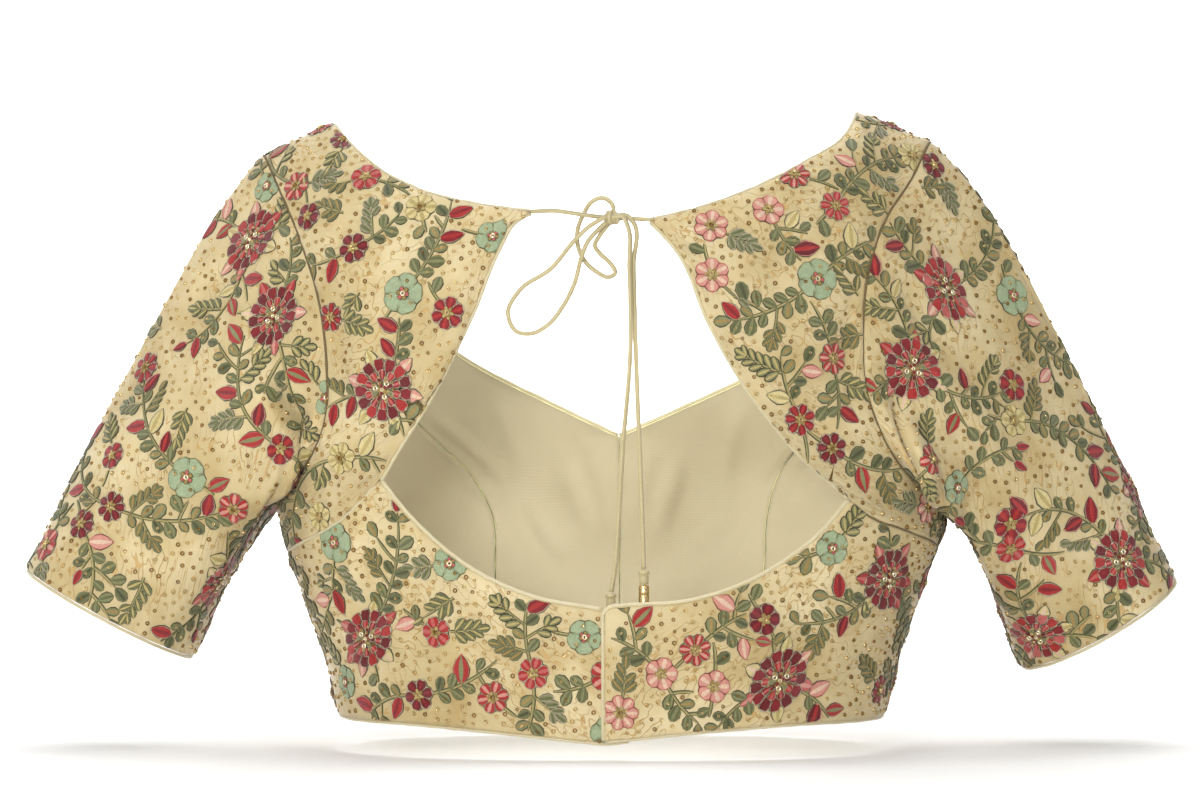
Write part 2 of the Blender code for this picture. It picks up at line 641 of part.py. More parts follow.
def turned(name, centre, profile, slot, sides=10):
    """Solid turned about an upright axis from radius and height rows, closed by flat ends."""
    turns = np.linspace(0, 2 * pi, sides, endpoint=False)
    vertices = []
    for radius, height in profile:
        for turn in turns:
            vertices.append((centre[0] + radius * np.cos(turn), centre[1] + radius * np.sin(turn), centre[2] + height))
    faces = [tuple(range(sides))]
    for i in range(len(profile) - 1):
        for j in range(sides):
            k = (j + 1) % sides
            faces.append((i * sides + j, (i + 1) * sides + j, (i + 1) * sides + k, i * sides + k))
    faces.append(tuple((len(profile) - 1) * sides + j for j in range(sides - 1, -1, -1)))
    return make_object(name, vertices, faces, slot)


def tie_cord(tips):
    """Bow knot, its leads, loops and tails, and the tails' stoppers and metal caps."""
    rings = 8
    profile = []
    for i in range(1, rings):
        turn = pi * i / rings
        profile.append((np.sin(turn), np.cos(turn)))
    knot = turned("cord_knot", (0, 0, 0), profile, "tie_cord", sides=12)
    knot.location = tuple(c * MM for c in KNOT_CENTRE)
    knot.scale = KNOT_SIZE
    for name, route in ROUTES.items():
        if name in tips:
            lead = unit(np.array(route[0]) - tips[name])
            route = (tuple(tips[name] + lead * 2 * LAYER_GAP), *route)
        step = TAIL_STEP if "tail" in name else LOOP_STEP
        tube(name, clear_of_knot(smooth_route(route, 0.5), step), CORD_RADIUS, "tie_cord", resolution=2)
    for hand, top in STOPPERS.items():
        turned("cord_stopper_" + hand, top, STOPPER_PROFILE, "tie_cord")
        turned("cord_cap_" + hand, top, CAP_PROFILE, "brass")


def build():
    clear_scene()
    tips = {}
    for hand in ("left", "right"):
        lines = panel_lines(hand)
        band, tips["cord_lead_" + hand] = back_panels(hand, lines)
        grids = front_panels(hand, lines)
        hem_edging(hand, band, grids)
        sleeve(hand, lines)
    tie_cord(tips)


build()
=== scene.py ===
"""Dresses the sari blouse: fine cloth shells, piping, tie cord, raised embroidery and beads.

The wearer faces +Y, +X is the wearer's right, and the photograph's camera looks along +Y.
Tables and sizes are in millimetres, and the meshes are built in metres.
"""
import bpy
import json
import numpy as np
from math import cos, pi, radians, sin
from mathutils import Matrix, Vector

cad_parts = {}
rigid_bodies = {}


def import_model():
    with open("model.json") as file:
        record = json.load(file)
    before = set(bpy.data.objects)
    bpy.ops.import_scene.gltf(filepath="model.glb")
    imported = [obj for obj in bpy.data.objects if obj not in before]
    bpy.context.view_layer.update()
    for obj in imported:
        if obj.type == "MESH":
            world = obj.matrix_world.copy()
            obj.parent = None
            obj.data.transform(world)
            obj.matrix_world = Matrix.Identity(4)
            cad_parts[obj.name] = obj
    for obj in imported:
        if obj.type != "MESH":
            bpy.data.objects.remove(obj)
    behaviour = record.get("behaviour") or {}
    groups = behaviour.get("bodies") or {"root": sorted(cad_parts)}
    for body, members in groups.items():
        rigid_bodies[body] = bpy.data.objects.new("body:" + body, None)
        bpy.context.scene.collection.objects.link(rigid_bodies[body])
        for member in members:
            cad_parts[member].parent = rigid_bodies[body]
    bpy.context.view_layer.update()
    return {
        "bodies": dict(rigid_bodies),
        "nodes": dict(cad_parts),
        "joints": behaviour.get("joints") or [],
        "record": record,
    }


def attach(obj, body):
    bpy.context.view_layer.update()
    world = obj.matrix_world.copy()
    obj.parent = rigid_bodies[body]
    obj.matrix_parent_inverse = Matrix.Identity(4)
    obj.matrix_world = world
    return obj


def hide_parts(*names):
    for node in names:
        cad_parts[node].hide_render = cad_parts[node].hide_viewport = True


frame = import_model()

MM = 0.001
HANDS = ("left", "right")

# Camera: millimetres in the frame, the lens from the photograph's 1200 pixels across
VIEW_TURN = radians(2.5)
VIEW_DISTANCE = 2600.0
VIEW_ACROSS = -6.3
VIEW_HEIGHT = -154.3
FOCAL_PIXELS = 4727.0
IMAGE_WIDTH = 1200.0
SENSOR = 36.0

# Body form: half width, depth behind and depth in front of the side seams, by height
LEVELS = {
    "z":          (-340, -300, -255, -222, -185, -140, -90, -40, 0),
    "half_width": (147, 155.5, 171, 182, 184, 180, 180, 186, 196),
    "back":       (99, 102, 104, 105, 106, 106, 104, 100, 96),
    "front":      (98, 100, 100, 98, 98, 94, 86, 76, 70),
}
HEM_Z = -340.0
CAP_HEIGHT = 125.0
CAP_START = 0.523
ROUNDNESS = 2.3
SHOULDER_START = 143.0
SHOULDER_DROP = 0.43
SHOULDER_TILT = 0.018
LEAN = -8.5
LEAN_TOP = -60.0
UNDERARM_Z = -212.0
BUST_X = 81.0
BUST_Z = -212.0
BUST_RISE = 24.0
BUST_WIDTH = 50.0
BUST_HEIGHT = 46.0
HEM_SIDE_Z = -327.6
HEM_DIP = 8.4
HEM_DIP_REACH = 110.0

# Cloth
SHELL = 1.5
LINING = 1.0
SEAM_GAP = 0.4
LAYER_GAP = 0.3
PIPING_RADIUS = 1.1
EDGING_RADIUS = 0.9

# Placket: the right band laps over the left one at the centre back
LAP_LIFT = 1.1
LAP_EDGE_LEFT = 14.0
LAP_EDGE_RIGHT = -1.5
LAP_RAMP = 14.0

# A place past the form's width lies on the side seam, and one above it on the shoulder seam
SIDE = 400.0
RIDGE = 30.0

# Finished lines, piping included, as x, z seen from behind
LINES = {
    "left": {
        "neck_back": ((-152, RIDGE), (-144, -9), (-123, -28), (-100, -40), (-67, -48.5), (-35, -54)),
        "keyhole": ((-35, -54), (-46, -62), (-54, -76), (-66, -107), (-87, -150), (-117, -198)),
        "armhole_back": ((-192, RIDGE), (-179, -42), (-166, -69), (-156, -96), (-150, -135),
                         (-153, -174), (-165, -195), (-SIDE, UNDERARM_Z)),
        "flap_seam": ((-SIDE, -240), (-169, -234), (-143, -220), (-117, -198)),
        "band_top": ((-117, -198), (-97, -221), (-71, -242), (-37, -257.5), (-2, -264),
                     (LAP_EDGE_LEFT, -267)),
        "neck_front": ((-152, RIDGE), (-149, -38), (-138, -72), (-118, -104), (-92, -126),
                       (-34, -157), (0, -174)),
        "armhole_front_centre": ((-192, RIDGE), (-178, -48), (-164, -80), (-155, -108), (-150, -130)),
        "armhole_front_side": ((-150, -130), (-148, -152), (-153, -176), (-166, -198), (-SIDE, UNDERARM_Z)),
        "princess": ((-150, -130), (-113, -170), (-82, -204), (-73, -222), (-71, -253), (-70, -335)),
    },
    "right": {
        "neck_back": ((134, RIDGE), (125, -12), (104, -26), (82, -38), (50, -50.5), (20, -58.5)),
        "keyhole": ((20, -58.5), (28, -67), (38, -79), (54, -116), (77, -155), (104, -188), (127, -208.5)),
        "armhole_back": ((175, RIDGE), (165, -33), (150, -57), (140, -87), (137, -118),
                         (140, -155), (153, -185), (168, -203), (SIDE, UNDERARM_Z)),
        "flap_seam": ((SIDE, -237), (160, -225), (141, -217), (127, -208.5)),
        "band_top": ((127, -208.5), (107, -230), (76, -249.5), (42, -260), (10, -262), (2, -263),
                     (LAP_EDGE_RIGHT, -267)),
        "neck_front": ((134, RIDGE), (136, -32), (131, -66), (116, -102), (92, -128), (35, -158), (0, -174)),
        "armhole_front_centre": ((175, RIDGE), (164, -40), (151, -72), (142, -104), (138, -132)),
        "armhole_front_side": ((138, -132), (138, -152), (144, -174), (158, -196), (SIDE, UNDERARM_Z)),
        "princess": ((138, -132), (116, -168), (93, -197), (86, -218), (84, -250), (82, -335)),
    },
}

# Grid steps along each kind of line, a multiple of the solids' steps
FINE = 5
STEPS = {
    "armhole_back": 19 * FINE, "armhole_front_centre": 6 * FINE, "armhole_front_side": 7 * FINE,
    "side_flap": 2 * FINE, "side_band": 8 * FINE, "flap_seam": 6 * FINE, "band_top": 13 * FINE,
    "shoulder": 8 * FINE, "keyhole": 12 * FINE, "neck_back": 7 * FINE, "centre_front": 7 * FINE,
    "princess": 10 * FINE,
}

# Sleeves: middle of the cuff, direction of the arm, cuff's half width and half depth
SLEEVES = {
    "left": {"cuff": (-277, 0, -272), "axis": (-0.47, 0.0, -0.88),
             "half_width": 51.5, "half_depth": 46, "puff": 0.85},
    "right": {"cuff": (269, 40, -278), "axis": (0.50, 0.14, -0.86),
              "half_width": 49, "half_depth": 46, "puff": 1.1},
}
SLEEVE_ROWS = 90
# Start of the sleeve by turn around the arm (0 top, 1 underarm): shares of the body's own
# direction, of the way out of it and of the arm's direction, and each end's pull by length
SLEEVE_HEAD = {
    "turn":  (0.0, 0.25, 0.5, 0.75, 1.0),
    "along": (0.75, 0.8, 0.7, 0.45, 0.15),
    "out":   (0.0, 0.1, 0.3, 0.7, 1.0),
    "arm":   (0.75, 0.6, 0.5, 0.3, 0.1),
    "start": (0.62, 0.60, 0.50, 0.40, 0.42),
    "end":   (0.55, 0.55, 0.55, 0.55, 0.50),
}
# Armpit folds: turn and its spread (back is positive), place along the sleeve and its spread, height
FOLDS = {
    "left": ((0.60, 0.07, 0.16, 0.14, -7), (0.76, 0.08, 0.14, 0.16, 6), (-0.66, 0.08, 0.16, 0.16, -6),
             (0.50, 0.06, 0.42, 0.16, 3)),
    "right": ((0.58, 0.07, 0.15, 0.14, -5), (0.74, 0.09, 0.16, 0.16, 8), (-0.64, 0.08, 0.15, 0.16, -6),
              (0.46, 0.06, 0.40, 0.18, 3)),
}
FOLD_START = 0.16

# Tie cord: x, y, z route points, each from the knot or the flap outwards
CORD_RADIUS = 1.3
KNOT_CENTRE = (3.4, -88.0, -58.4)
ROUTES = {
    "cord_lead_left": ((-26, -87.6, -54.8), (-12, -89.2, -56.8), (0, -88.4, -58.2)),
    "cord_lead_right": ((16, -84.8, -58.9), (11, -84.6, -58.6), (5, -85.2, -58.4)),
    "cord_loop_large": (
        (1, -91.0, -58.0), (-7.5, -92.2, -62.9), (-15.7, -92.6, -70.7), (-28.7, -93, -86),
        (-44.8, -93, -97), (-51.2, -92.6, -109.3), (-46.7, -92, -119), (-38.5, -91.6, -120),
        (-30, -91.4, -115.5), (-22.3, -91, -106), (-15.8, -90.6, -93.2), (-12.4, -90.4, -80.3),
        (-9.2, -90, -71.9), (-4.4, -89.4, -65.9), (2, -88.6, -60)),
    "cord_loop_small": (
        (4.4, -87, -56.5), (4.6, -86.6, -53), (2.6, -86, -49.6), (-1.6, -85.4, -47.8),
        (-7.2, -84.8, -50), (-11.2, -84.4, -56), (-14.7, -84.2, -65.5), (-13.2, -84.4, -77),
        (-9.2, -85, -83.2), (-4.2, -85.4, -87.3), (2.2, -85.6, -90), (5.6, -85.4, -88),
        (3.4, -85, -83.2), (-3, -84.8, -77), (-5.4, -84.8, -73), (-3.2, -85.2, -68.6), (2.6, -86, -61)),
    "cord_tail_left": (
        (6, -91, -58), (9.8, -91.6, -58), (12, -91.6, -62), (13.3, -91.4, -85), (13.8, -91, -128.6),
        (9.5, -90.4, -184), (6.9, -90, -229), (5.4, -90, -247), (3.6, -90, -257.2)),
    "cord_tail_right": (
        (6, -88, -57.6), (11.6, -88.2, -57.2), (15, -88.2, -60.6), (15.4, -88, -84), (16.6, -88, -128.6),
        (19.3, -88, -201), (20.8, -88, -245)),
}
STOPPERS = {"left": (3.4, -90.0, -257.8), "right": (20.9, -88.0, -245.6)}


def smooth_step(t):
    t = np.clip(t, 0.0, 1.0)
    return t * t * (3.0 - 2.0 * t)


def smooth_table(value, places, sizes):
    """A smooth curve through a short table, flat past its ends."""
    places = np.asarray(places, float)
    sizes = np.asarray(sizes, float)
    slopes = np.gradient(sizes, places)
    value = np.clip(value, places[0], places[-1])
    i = np.clip(np.searchsorted(places, value, side="right") - 1, 0, len(places) - 2)
    step = places[i + 1] - places[i]
    t = (value - places[i]) / step
    rise = t * t * (3 - 2 * t)
    start = t * (1 - t) ** 2
    end = t * t * (t - 1)
    return sizes[i] + (sizes[i + 1] - sizes[i]) * rise + step * (slopes[i] * start + slopes[i + 1] * end)


def unit(vectors):
    """Vectors brought to length one."""
    return vectors / np.maximum(np.linalg.norm(vectors, axis=-1, keepdims=True), 1e-9)


def form_size(name, z):
    """One of the form's sizes at a height."""
    return smooth_table(z, LEVELS["z"], LEVELS[name])


def ring_level(v):
    """Height and depth factor of a ring: upright walls, then a quarter ellipse to the shoulder."""
    wall = HEM_Z + (-CAP_HEIGHT - HEM_Z) * v / CAP_START
    turn = np.maximum(v - CAP_START, 0) / (1 - CAP_START) * pi / 2
    low = v <= CAP_START
    return np.where(low, wall, -CAP_HEIGHT * (1 - np.sin(turn))), np.where(low, 1.0, np.cos(turn))


def upper_share(z):
    """0 at the underarm and below, 1 at the shoulders."""
    return smooth_step((z - UNDERARM_Z) / -UNDERARM_Z)


def shoulder_shift(x, z):
    """How far the shoulders' slope and tilt lower a point."""
    return upper_share(z) * (SHOULDER_TILT * x - SHOULDER_DROP * np.maximum(np.abs(x) - SHOULDER_START, 0))


def lean(z):
    """How far the form leans to its left at a height."""
    return LEAN * smooth_step((z - UNDERARM_Z) / (LEAN_TOP - UNDERARM_Z))


def bust(x, z, sine):
    """Forward rise of the two cups."""
    across = (np.abs(x) - BUST_X) / BUST_WIDTH
    up = (z - BUST_Z) / BUST_HEIGHT
    return BUST_RISE * np.exp(-across ** 2 - up ** 2) * smooth_step(sine * 3)


def body(places):
    """Points of the form from angle (0 right side, pi/2 front, -pi/2 back) and v (0 hem, 1 shoulder)."""
    angle = places[..., 0]
    z, cap = ring_level(places[..., 1])
    cosine = np.cos(angle)
    sine = np.sin(angle)
    reach = (np.abs(cosine) ** ROUNDNESS + np.abs(sine) ** ROUNDNESS) ** (-1 / ROUNDNESS)
    x = form_size("half_width", z) * reach * cosine
    depth = np.where(sine < 0, form_size("back", z), form_size("front", z))
    y = depth * cap * reach * sine + bust(x, z, sine)
    return np.stack([x + lean(z), y, z + shoulder_shift(x, z)], axis=-1)


def body_normal(places, step=1e-3):
    """Outward directions of the form."""
    around = body(places + (step, 0)) - body(places - (step, 0))
    up = body(places + (0, step)) - body(places - (0, step))
    return unit(np.cross(around, up))


def locate(x, z, side):
    """Angle and v of the form's point seen at x, z from behind; side is -1 behind, 1 in front."""
    height = z
    for _ in range(8):
        across = x - lean(height)
        height = z - shoulder_shift(across, height)
    share = np.clip(abs(across) / form_size("half_width", height), 1e-4, 1.0)
    angle = np.arctan((share ** -ROUNDNESS - 1) ** (1 / ROUNDNESS))
    if across < 0:
        angle = pi - angle
    if height <= -CAP_HEIGHT:
        v = (height - HEM_Z) / (-CAP_HEIGHT - HEM_Z) * CAP_START
    else:
        turn = np.arcsin(np.clip(1 + height / CAP_HEIGHT, -1, 1))
        v = CAP_START + (1 - CAP_START) * turn / (pi / 2)
    return side * angle, v


def run_lengths(points):
    """Length of a line from its start to each of its points."""
    return np.concatenate([[0.0], np.cumsum(np.linalg.norm(np.diff(points, axis=0), axis=1))])


# Places looked at for each listed point of a line, and along the hem
LINE_DETAIL = 40


def cut_line(points, steps, side):
    """Evenly spaced places along a smooth line through the listed x, z points."""
    table = np.array([locate(x, z, side) for x, z in points])
    chord = run_lengths(body(table))
    fine = np.linspace(0, chord[-1], LINE_DETAIL * len(points))
    places = np.stack([smooth_table(fine, chord, table[:, k]) for k in (0, 1)], axis=-1)
    run = run_lengths(body(places))
    even = np.linspace(0, run[-1], steps + 1)
    return np.stack([np.interp(even, run, places[:, k]) for k in (0, 1)], axis=-1)


def hem_line(x_start, x_end, steps, side):
    """Places along the hem, which dips towards the centre."""
    width = float(form_size("half_width", HEM_SIDE_Z))
    points = []
    for x in np.linspace(np.clip(x_start, -width, width), x_end, LINE_DETAIL):
        middle = np.clip(1 - abs(x) / HEM_DIP_REACH, 0, 1)
        points.append((x, HEM_SIDE_Z - HEM_DIP * middle ** 1.4))
    return cut_line(points, steps, side)


def joined(*lines):
    """Lines end to end, without the repeated places."""
    return np.concatenate([lines[0]] + [line[1:] for line in lines[1:]])


def corners(points):
    """Direction of a line at each point, and how much longer a mitred step aside is there."""
    steps = unit(np.diff(points, axis=0))
    before = np.concatenate([steps[:1], steps])
    after = np.concatenate([steps, steps[-1:]])
    along = unit(before + after)
    return along, 1 / np.maximum(np.sum(along * before, axis=1, keepdims=True), 0.6)


def set_back(points, amount):
    """A line of x, z points moved to its own side, with the corners mitred."""
    points = np.array(points, float)
    along, mitre = corners(points)
    return points + np.stack([-along[:, 1], along[:, 0]], axis=-1) * mitre * amount


def cut_table(hand):
    """The finished lines of one side, with the piped edges set back by the piping's width."""
    table = dict(LINES[hand])
    sign = -1 if hand == "left" else 1
    width = sign * (2 * PIPING_RADIUS + LAYER_GAP)
    sizes = [len(table[name]) for name in ("neck_back", "keyhole", "band_top")]
    opening = set_back(table["neck_back"] + table["keyhole"][1:] + table["band_top"][1:], width)
    first, second = sizes[0], sizes[0] + sizes[1] - 1
    table["neck_back"] = opening[:first]
    table["keyhole"] = opening[first - 1:second]
    table["band_top"] = opening[second - 1:]
    table["flap_seam"] = np.array(table["flap_seam"][:-1] + (tuple(opening[second - 1]),))
    table["neck_front"] = set_back(table["neck_front"], width)
    table["neck_front"][0, 0] = table["neck_back"][0, 0]
    table["neck_front"][-1, 0] = 0.0
    return table


def panel_lines(hand):
    """All cut lines of one side of the blouse as places, running as in the table."""
    table = cut_table(hand)
    sign = -1 if hand == "left" else 1
    lines = {}
    for name in ("neck_back", "keyhole", "armhole_back", "flap_seam", "band_top"):
        lines[name] = cut_line(table[name], STEPS[name], -1)
    for name in ("armhole_front_centre", "armhole_front_side", "princess"):
        lines[name] = cut_line(table[name], STEPS[name], 1)
    rows = STEPS["side_band"] + STEPS["side_flap"]
    neck_rows = rows + STEPS["armhole_front_centre"] - STEPS["centre_front"]
    lines["neck_front"] = cut_line(table["neck_front"], neck_rows, 1)
    seam_z = table["flap_seam"][0][1]
    for side, ending in ((-1, "back"), (1, "front")):
        low = cut_line(((sign * SIDE, HEM_SIDE_Z), (sign * SIDE, seam_z)), STEPS["side_band"], side)
        high = cut_line(((sign * SIDE, seam_z), (sign * SIDE, UNDERARM_Z)), STEPS["side_flap"], side)
        lines["side_band_" + ending] = low
        lines["side_flap_" + ending] = high
        lines["shoulder_" + ending] = cut_line(
            (table["armhole_back"][0], table["neck_back"][0]), STEPS["shoulder"], side)
    centre_top = table["neck_front"][-1]
    princess_x = table["princess"][-1][0]
    lines["princess"][-1] = hem_line(princess_x, princess_x + sign, 1, 1)[0]
    lines["hem_front_centre"] = hem_line(princess_x, 0, STEPS["shoulder"], 1)
    lines["hem_front_side"] = hem_line(sign * SIDE, princess_x, STEPS["armhole_front_side"], 1)
    low_centre = (0, HEM_SIDE_Z - HEM_DIP)
    lines["centre_front"] = cut_line((low_centre, centre_top), STEPS["centre_front"], 1)
    lap = table["band_top"][-1][0]
    steps = STEPS["flap_seam"] + STEPS["band_top"]
    lines["hem_back"] = hem_line(sign * SIDE, lap, steps, -1)
    lines["placket"] = cut_line(((lap, low_centre[1]), table["band_top"][-1]), STEPS["side_band"], -1)
    return lines


def patch(bottom, top, start, end):
    """Grid of places between four edges: start and end run from bottom to top."""
    s = np.linspace(0, 1, len(bottom))[None, :, None]
    t = np.linspace(0, 1, len(start))[:, None, None]
    ruled = (1 - t) * bottom[None] + t * top[None]
    crossed = (1 - s) * start[:, None] + s * end[:, None]
    ends = (1 - t) * ((1 - s) * bottom[0] + s * bottom[-1]) + t * ((1 - s) * top[0] + s * top[-1])
    return ruled + crossed - ends


def rim_shift(points, amount, axes=(0, 1)):
    """Moves of a grid's rim along the cloth and inwards, which leave half a seam's gap."""
    move = np.zeros_like(points)
    for axis in axes:
        grid = np.swapaxes(points, 0, axis)
        shift = np.swapaxes(move, 0, axis)
        for row, inner in ((0, 1), (-1, -2)):
            along = unit(np.gradient(grid[row], axis=0))
            inward = grid[inner] - grid[row]
            inward = unit(inward - np.sum(inward * along, axis=-1, keepdims=True) * along)
            shift[row] += inward * amount
    return move


def lap_offset(points, hand):
    """Distance out of the form of the bands where one laps over the other."""
    x = points[..., 0]
    if hand == "left":
        return -LAP_LIFT * smooth_step((x - LAP_EDGE_RIGHT + 4.5 + LAP_RAMP) / LAP_RAMP)
    return LAP_LIFT * smooth_step((LAP_EDGE_LEFT + 4.0 + LAP_RAMP - x) / LAP_RAMP)


# Creases: a middle line of three places, half width, depth. The places are x, z on the
# body and turn, share of the length on a sleeve (back is positive)
BODY_CREASES = {
    "back_flap_left": (
        (((-147, -96), (-142, -130), (-143, -168)), 5.5, -2.6),
        (((-166, -214), (-142, -196), (-118, -168)), 6.5, -1.4),
        (((-126, -52), (-108, -88), (-104, -128)), 9.0, -1.1),
        (((-150, -60), (-132, -84), (-124, -112)), 7.0, 0.9),
        (((-160, -228), (-150, -214), (-134, -204)), 4.0, -1.0)),
    "back_flap_right": (
        (((134, -92), (128, -128), (131, -160)), 5.5, -2.5),
        (((158, -214), (134, -198), (108, -172)), 6.0, -1.3),
        (((108, -46), (92, -80), (90, -118)), 9.0, -1.1),
        (((140, -70), (118, -92), (112, -120)), 7.0, 0.8),
        (((166, -226), (150, -214), (134, -206)), 4.0, -0.9)),
    "back_band_left": (
        (((-168, -250), (-140, -262), (-108, -262)), 5.5, -1.3),
        (((-104, -246), (-97, -280), (-100, -318)), 8.0, -1.2),
        (((-52, -268), (-44, -296), (-50, -326)), 7.0, -0.9),
        (((-158, -285), (-142, -300), (-120, -306)), 6.5, -1.1),
        (((-20, -275), (-14, -300), (-17, -330)), 6.0, 0.7)),
    "back_band_right": (
        (((170, -246), (140, -258), (112, -256)), 5.5, -1.3),
        (((112, -252), (104, -284), (108, -318)), 8.0, -1.2),
        (((56, -268), (50, -298), (42, -328)), 7.0, -0.9),
        (((150, -282), (136, -298), (114, -308)), 6.5, -1.1),
        (((22, -272), (16, -300), (20, -330)), 6.0, 0.7)),
    "front_centre_left": (
        (((-60, -252), (-40, -262), (-18, -258)), 7.0, -1.4),
        (((-120, -150), (-100, -172), (-88, -192)), 7.0, -1.0),
        (((-36, -190), (-22, -214), (-10, -236)), 8.0, -1.0)),
    "front_centre_right": (
        (((66, -254), (44, -262), (16, -256)), 7.0, -1.3),
        (((122, -154), (104, -174), (92, -196)), 7.0, -1.1),
        (((34, -188), (24, -212), (14, -238)), 8.0, -0.9)),
    "front_side_left": (
        (((-158, -196), (-136, -204), (-112, -206)), 6.0, -1.5),
        (((-150, -262), (-118, -270), (-90, -262)), 7.0, -1.3),
        (((-140, -296), (-118, -302), (-92, -312)), 8.0, -1.0)),
    "front_side_right": (
        (((152, -194), (134, -202), (114, -206)), 6.0, -1.4),
        (((152, -260), (124, -268), (98, -264)), 7.0, -1.4),
        (((138, -292), (120, -304), (100, -310)), 8.0, -0.9)),
}
SLEEVE_CREASES = {
    "left": (
        (((0.46, 0.25), (0.60, 0.20), (0.75, 0.06)), 0.025, -9.5),
        (((0.48, 0.37), (0.64, 0.30), (0.82, 0.17)), 0.05, 3.0),
        (((0.70, 0.22), (0.80, 0.28), (0.92, 0.36)), 0.030, -3.4),
        (((0.32, 0.06), (0.38, 0.2), (0.43, 0.36)), 0.045, -2.2),
        (((0.84, 0.42), (0.68, 0.52), (0.50, 0.56)), 0.045, -2.8),
        (((0.86, 0.60), (0.70, 0.68), (0.54, 0.70)), 0.05, -1.5),
        (((0.16, 0.1), (0.2, 0.3), (0.22, 0.5)), 0.06, -1.2),
        (((0.44, 0.62), (0.4, 0.78), (0.42, 0.95)), 0.06, -1.2),
        (((-0.34, 0.08), (-0.4, 0.24), (-0.46, 0.4)), 0.05, -1.6),
        (((-0.84, 0.4), (-0.66, 0.52), (-0.48, 0.54)), 0.05, -2.0),
        (((-0.8, 0.64), (-0.62, 0.7), (-0.46, 0.74)), 0.05, -1.4),
        (((-0.2, 0.5), (-0.22, 0.7), (-0.2, 0.9)), 0.06, -1.0)),
    "right": (
        (((0.57, 0.20), (0.68, 0.12), (0.76, 0.17)), 0.025, -9.0),
        (((0.60, 0.28), (0.69, 0.22), (0.80, 0.26)), 0.05, 3.2),
        (((0.72, 0.05), (0.80, 0.12), (0.90, 0.22)), 0.026, -3.2),
        (((0.30, 0.06), (0.36, 0.18), (0.40, 0.34)), 0.045, -2.2),
        (((0.88, 0.36), (0.72, 0.44), (0.54, 0.46)), 0.045, -3.0),
        (((0.84, 0.58), (0.66, 0.66), (0.50, 0.66)), 0.05, -1.5),
        (((0.14, 0.12), (0.18, 0.3), (0.20, 0.52)), 0.06, -1.2),
        (((0.36, 0.6), (0.34, 0.78), (0.38, 0.94)), 0.06, -1.1),
        (((-0.32, 0.08), (-0.38, 0.22), (-0.46, 0.38)), 0.05, -1.6),
        (((-0.86, 0.38), (-0.68, 0.5), (-0.5, 0.52)), 0.05, -2.0),
        (((-0.78, 0.62), (-0.6, 0.7), (-0.44, 0.72)), 0.05, -1.3),
        (((-0.18, 0.48), (-0.2, 0.7), (-0.18, 0.9)), 0.06, -1.0)),
}
# Folds of the lining: a positive depth is a groove with a swell about it, a negative one a swell
LINING_CREASES = {
    "left": (
        (((-112, -168), (-88, -186), (-70, -208)), 4.0, 2.2),
        (((-100, -205), (-84, -212), (-70, -216)), 4.0, 1.8),
        (((-56, -222), (-44, -240), (-30, -252)), 5.0, 1.9),
        (((-26, -180), (-16, -206), (-10, -240)), 6.0, 1.8),
        (((-74, -150), (-62, -176), (-58, -206)), 7.0, -1.4),
        (((-96, -226), (-78, -238), (-64, -254)), 4.5, 1.5)),
    "right": (
        (((116, -172), (98, -188), (86, -206)), 4.0, 2.2),
        (((112, -206), (98, -212), (88, -220)), 4.0, 1.7),
        (((70, -226), (54, -240), (36, -250)), 5.0, 1.9),
        (((28, -182), (20, -206), (12, -238)), 6.0, 1.8),
        (((78, -146), (66, -174), (60, -204)), 7.0, -1.4),
        (((104, -232), (88, -242), (70, -256)), 4.5, 1.4)),
}
# Roll beside a crease: share of its depth, place and width in its half widths
ROLL = 0.4
ROLL_PLACE = 1.7
ROLL_WIDTH = 1.2
CREASE_DETAIL = 25
# Seams: depth and reach of the dip, height and reach of the puckers, and the calm rim of a piece
SEAM_DIP = 0.55
SEAM_DIP_REACH = 1.6
PUCKER = 0.35
PUCKER_REACH = 7.0
CALM_RIM = 12.0
# Lining: depth of its folds, width and depth of a groove's swell by the groove's own, how
# sharply the folds are kept from going outwards, and share of the cloth's dip at a seam
FOLD_DEPTH = 1.6
SWELL_WIDTH = 2.1
SWELL_DEPTH = 1.25
FOLD_CLAMP = 4.0
LINING_SEAMS = 0.9


def crease_height(u, v, creases):
    """Height of soft troughs, or ridges, each with a low roll of the other kind at one side."""
    height = np.zeros_like(u)
    share = np.linspace(0, 1, CREASE_DETAIL)
    for points, width, depth in creases:
        points = np.array(points, float)
        bend = 2 * points[1] - (points[0] + points[2]) / 2
        line = ((1 - share) ** 2)[:, None] * points[0] + (2 * share * (1 - share))[:, None] * bend
        line = line + (share ** 2)[:, None] * points[2]
        away = np.stack([u, v], axis=-1)[..., None, :] - line
        distance = np.linalg.norm(away, axis=-1)
        nearest = np.argmin(distance, axis=-1)
        along = unit(np.gradient(line, axis=0))[nearest]
        step = np.take_along_axis(away, nearest[..., None, None], axis=-2)[..., 0, :]
        side = np.sign(along[..., 0] * step[..., 1] - along[..., 1] * step[..., 0])
        place = side * np.min(distance, axis=-1) / width
        fade = np.sin(pi * np.clip(share[nearest], 0.02, 0.98)) ** 0.8
        roll = ROLL * np.exp(-((place - ROLL_PLACE) / ROLL_WIDTH) ** 2)
        height += depth * fade * (np.exp(-place ** 2) - roll)
    return height


def fold_height(u, v, folds):
    """Folds of a lining: swells inward with a groove in each, which never push out into the cloth."""
    grooves = [fold for fold in folds if fold[2] > 0]
    swells = [(line, width * SWELL_WIDTH, -depth * SWELL_DEPTH) for line, width, depth in grooves]
    height = FOLD_DEPTH * (crease_height(u, v, folds) + crease_height(u, v, swells))
    return -np.logaddexp(0.0, -FOLD_CLAMP * height) / FOLD_CLAMP


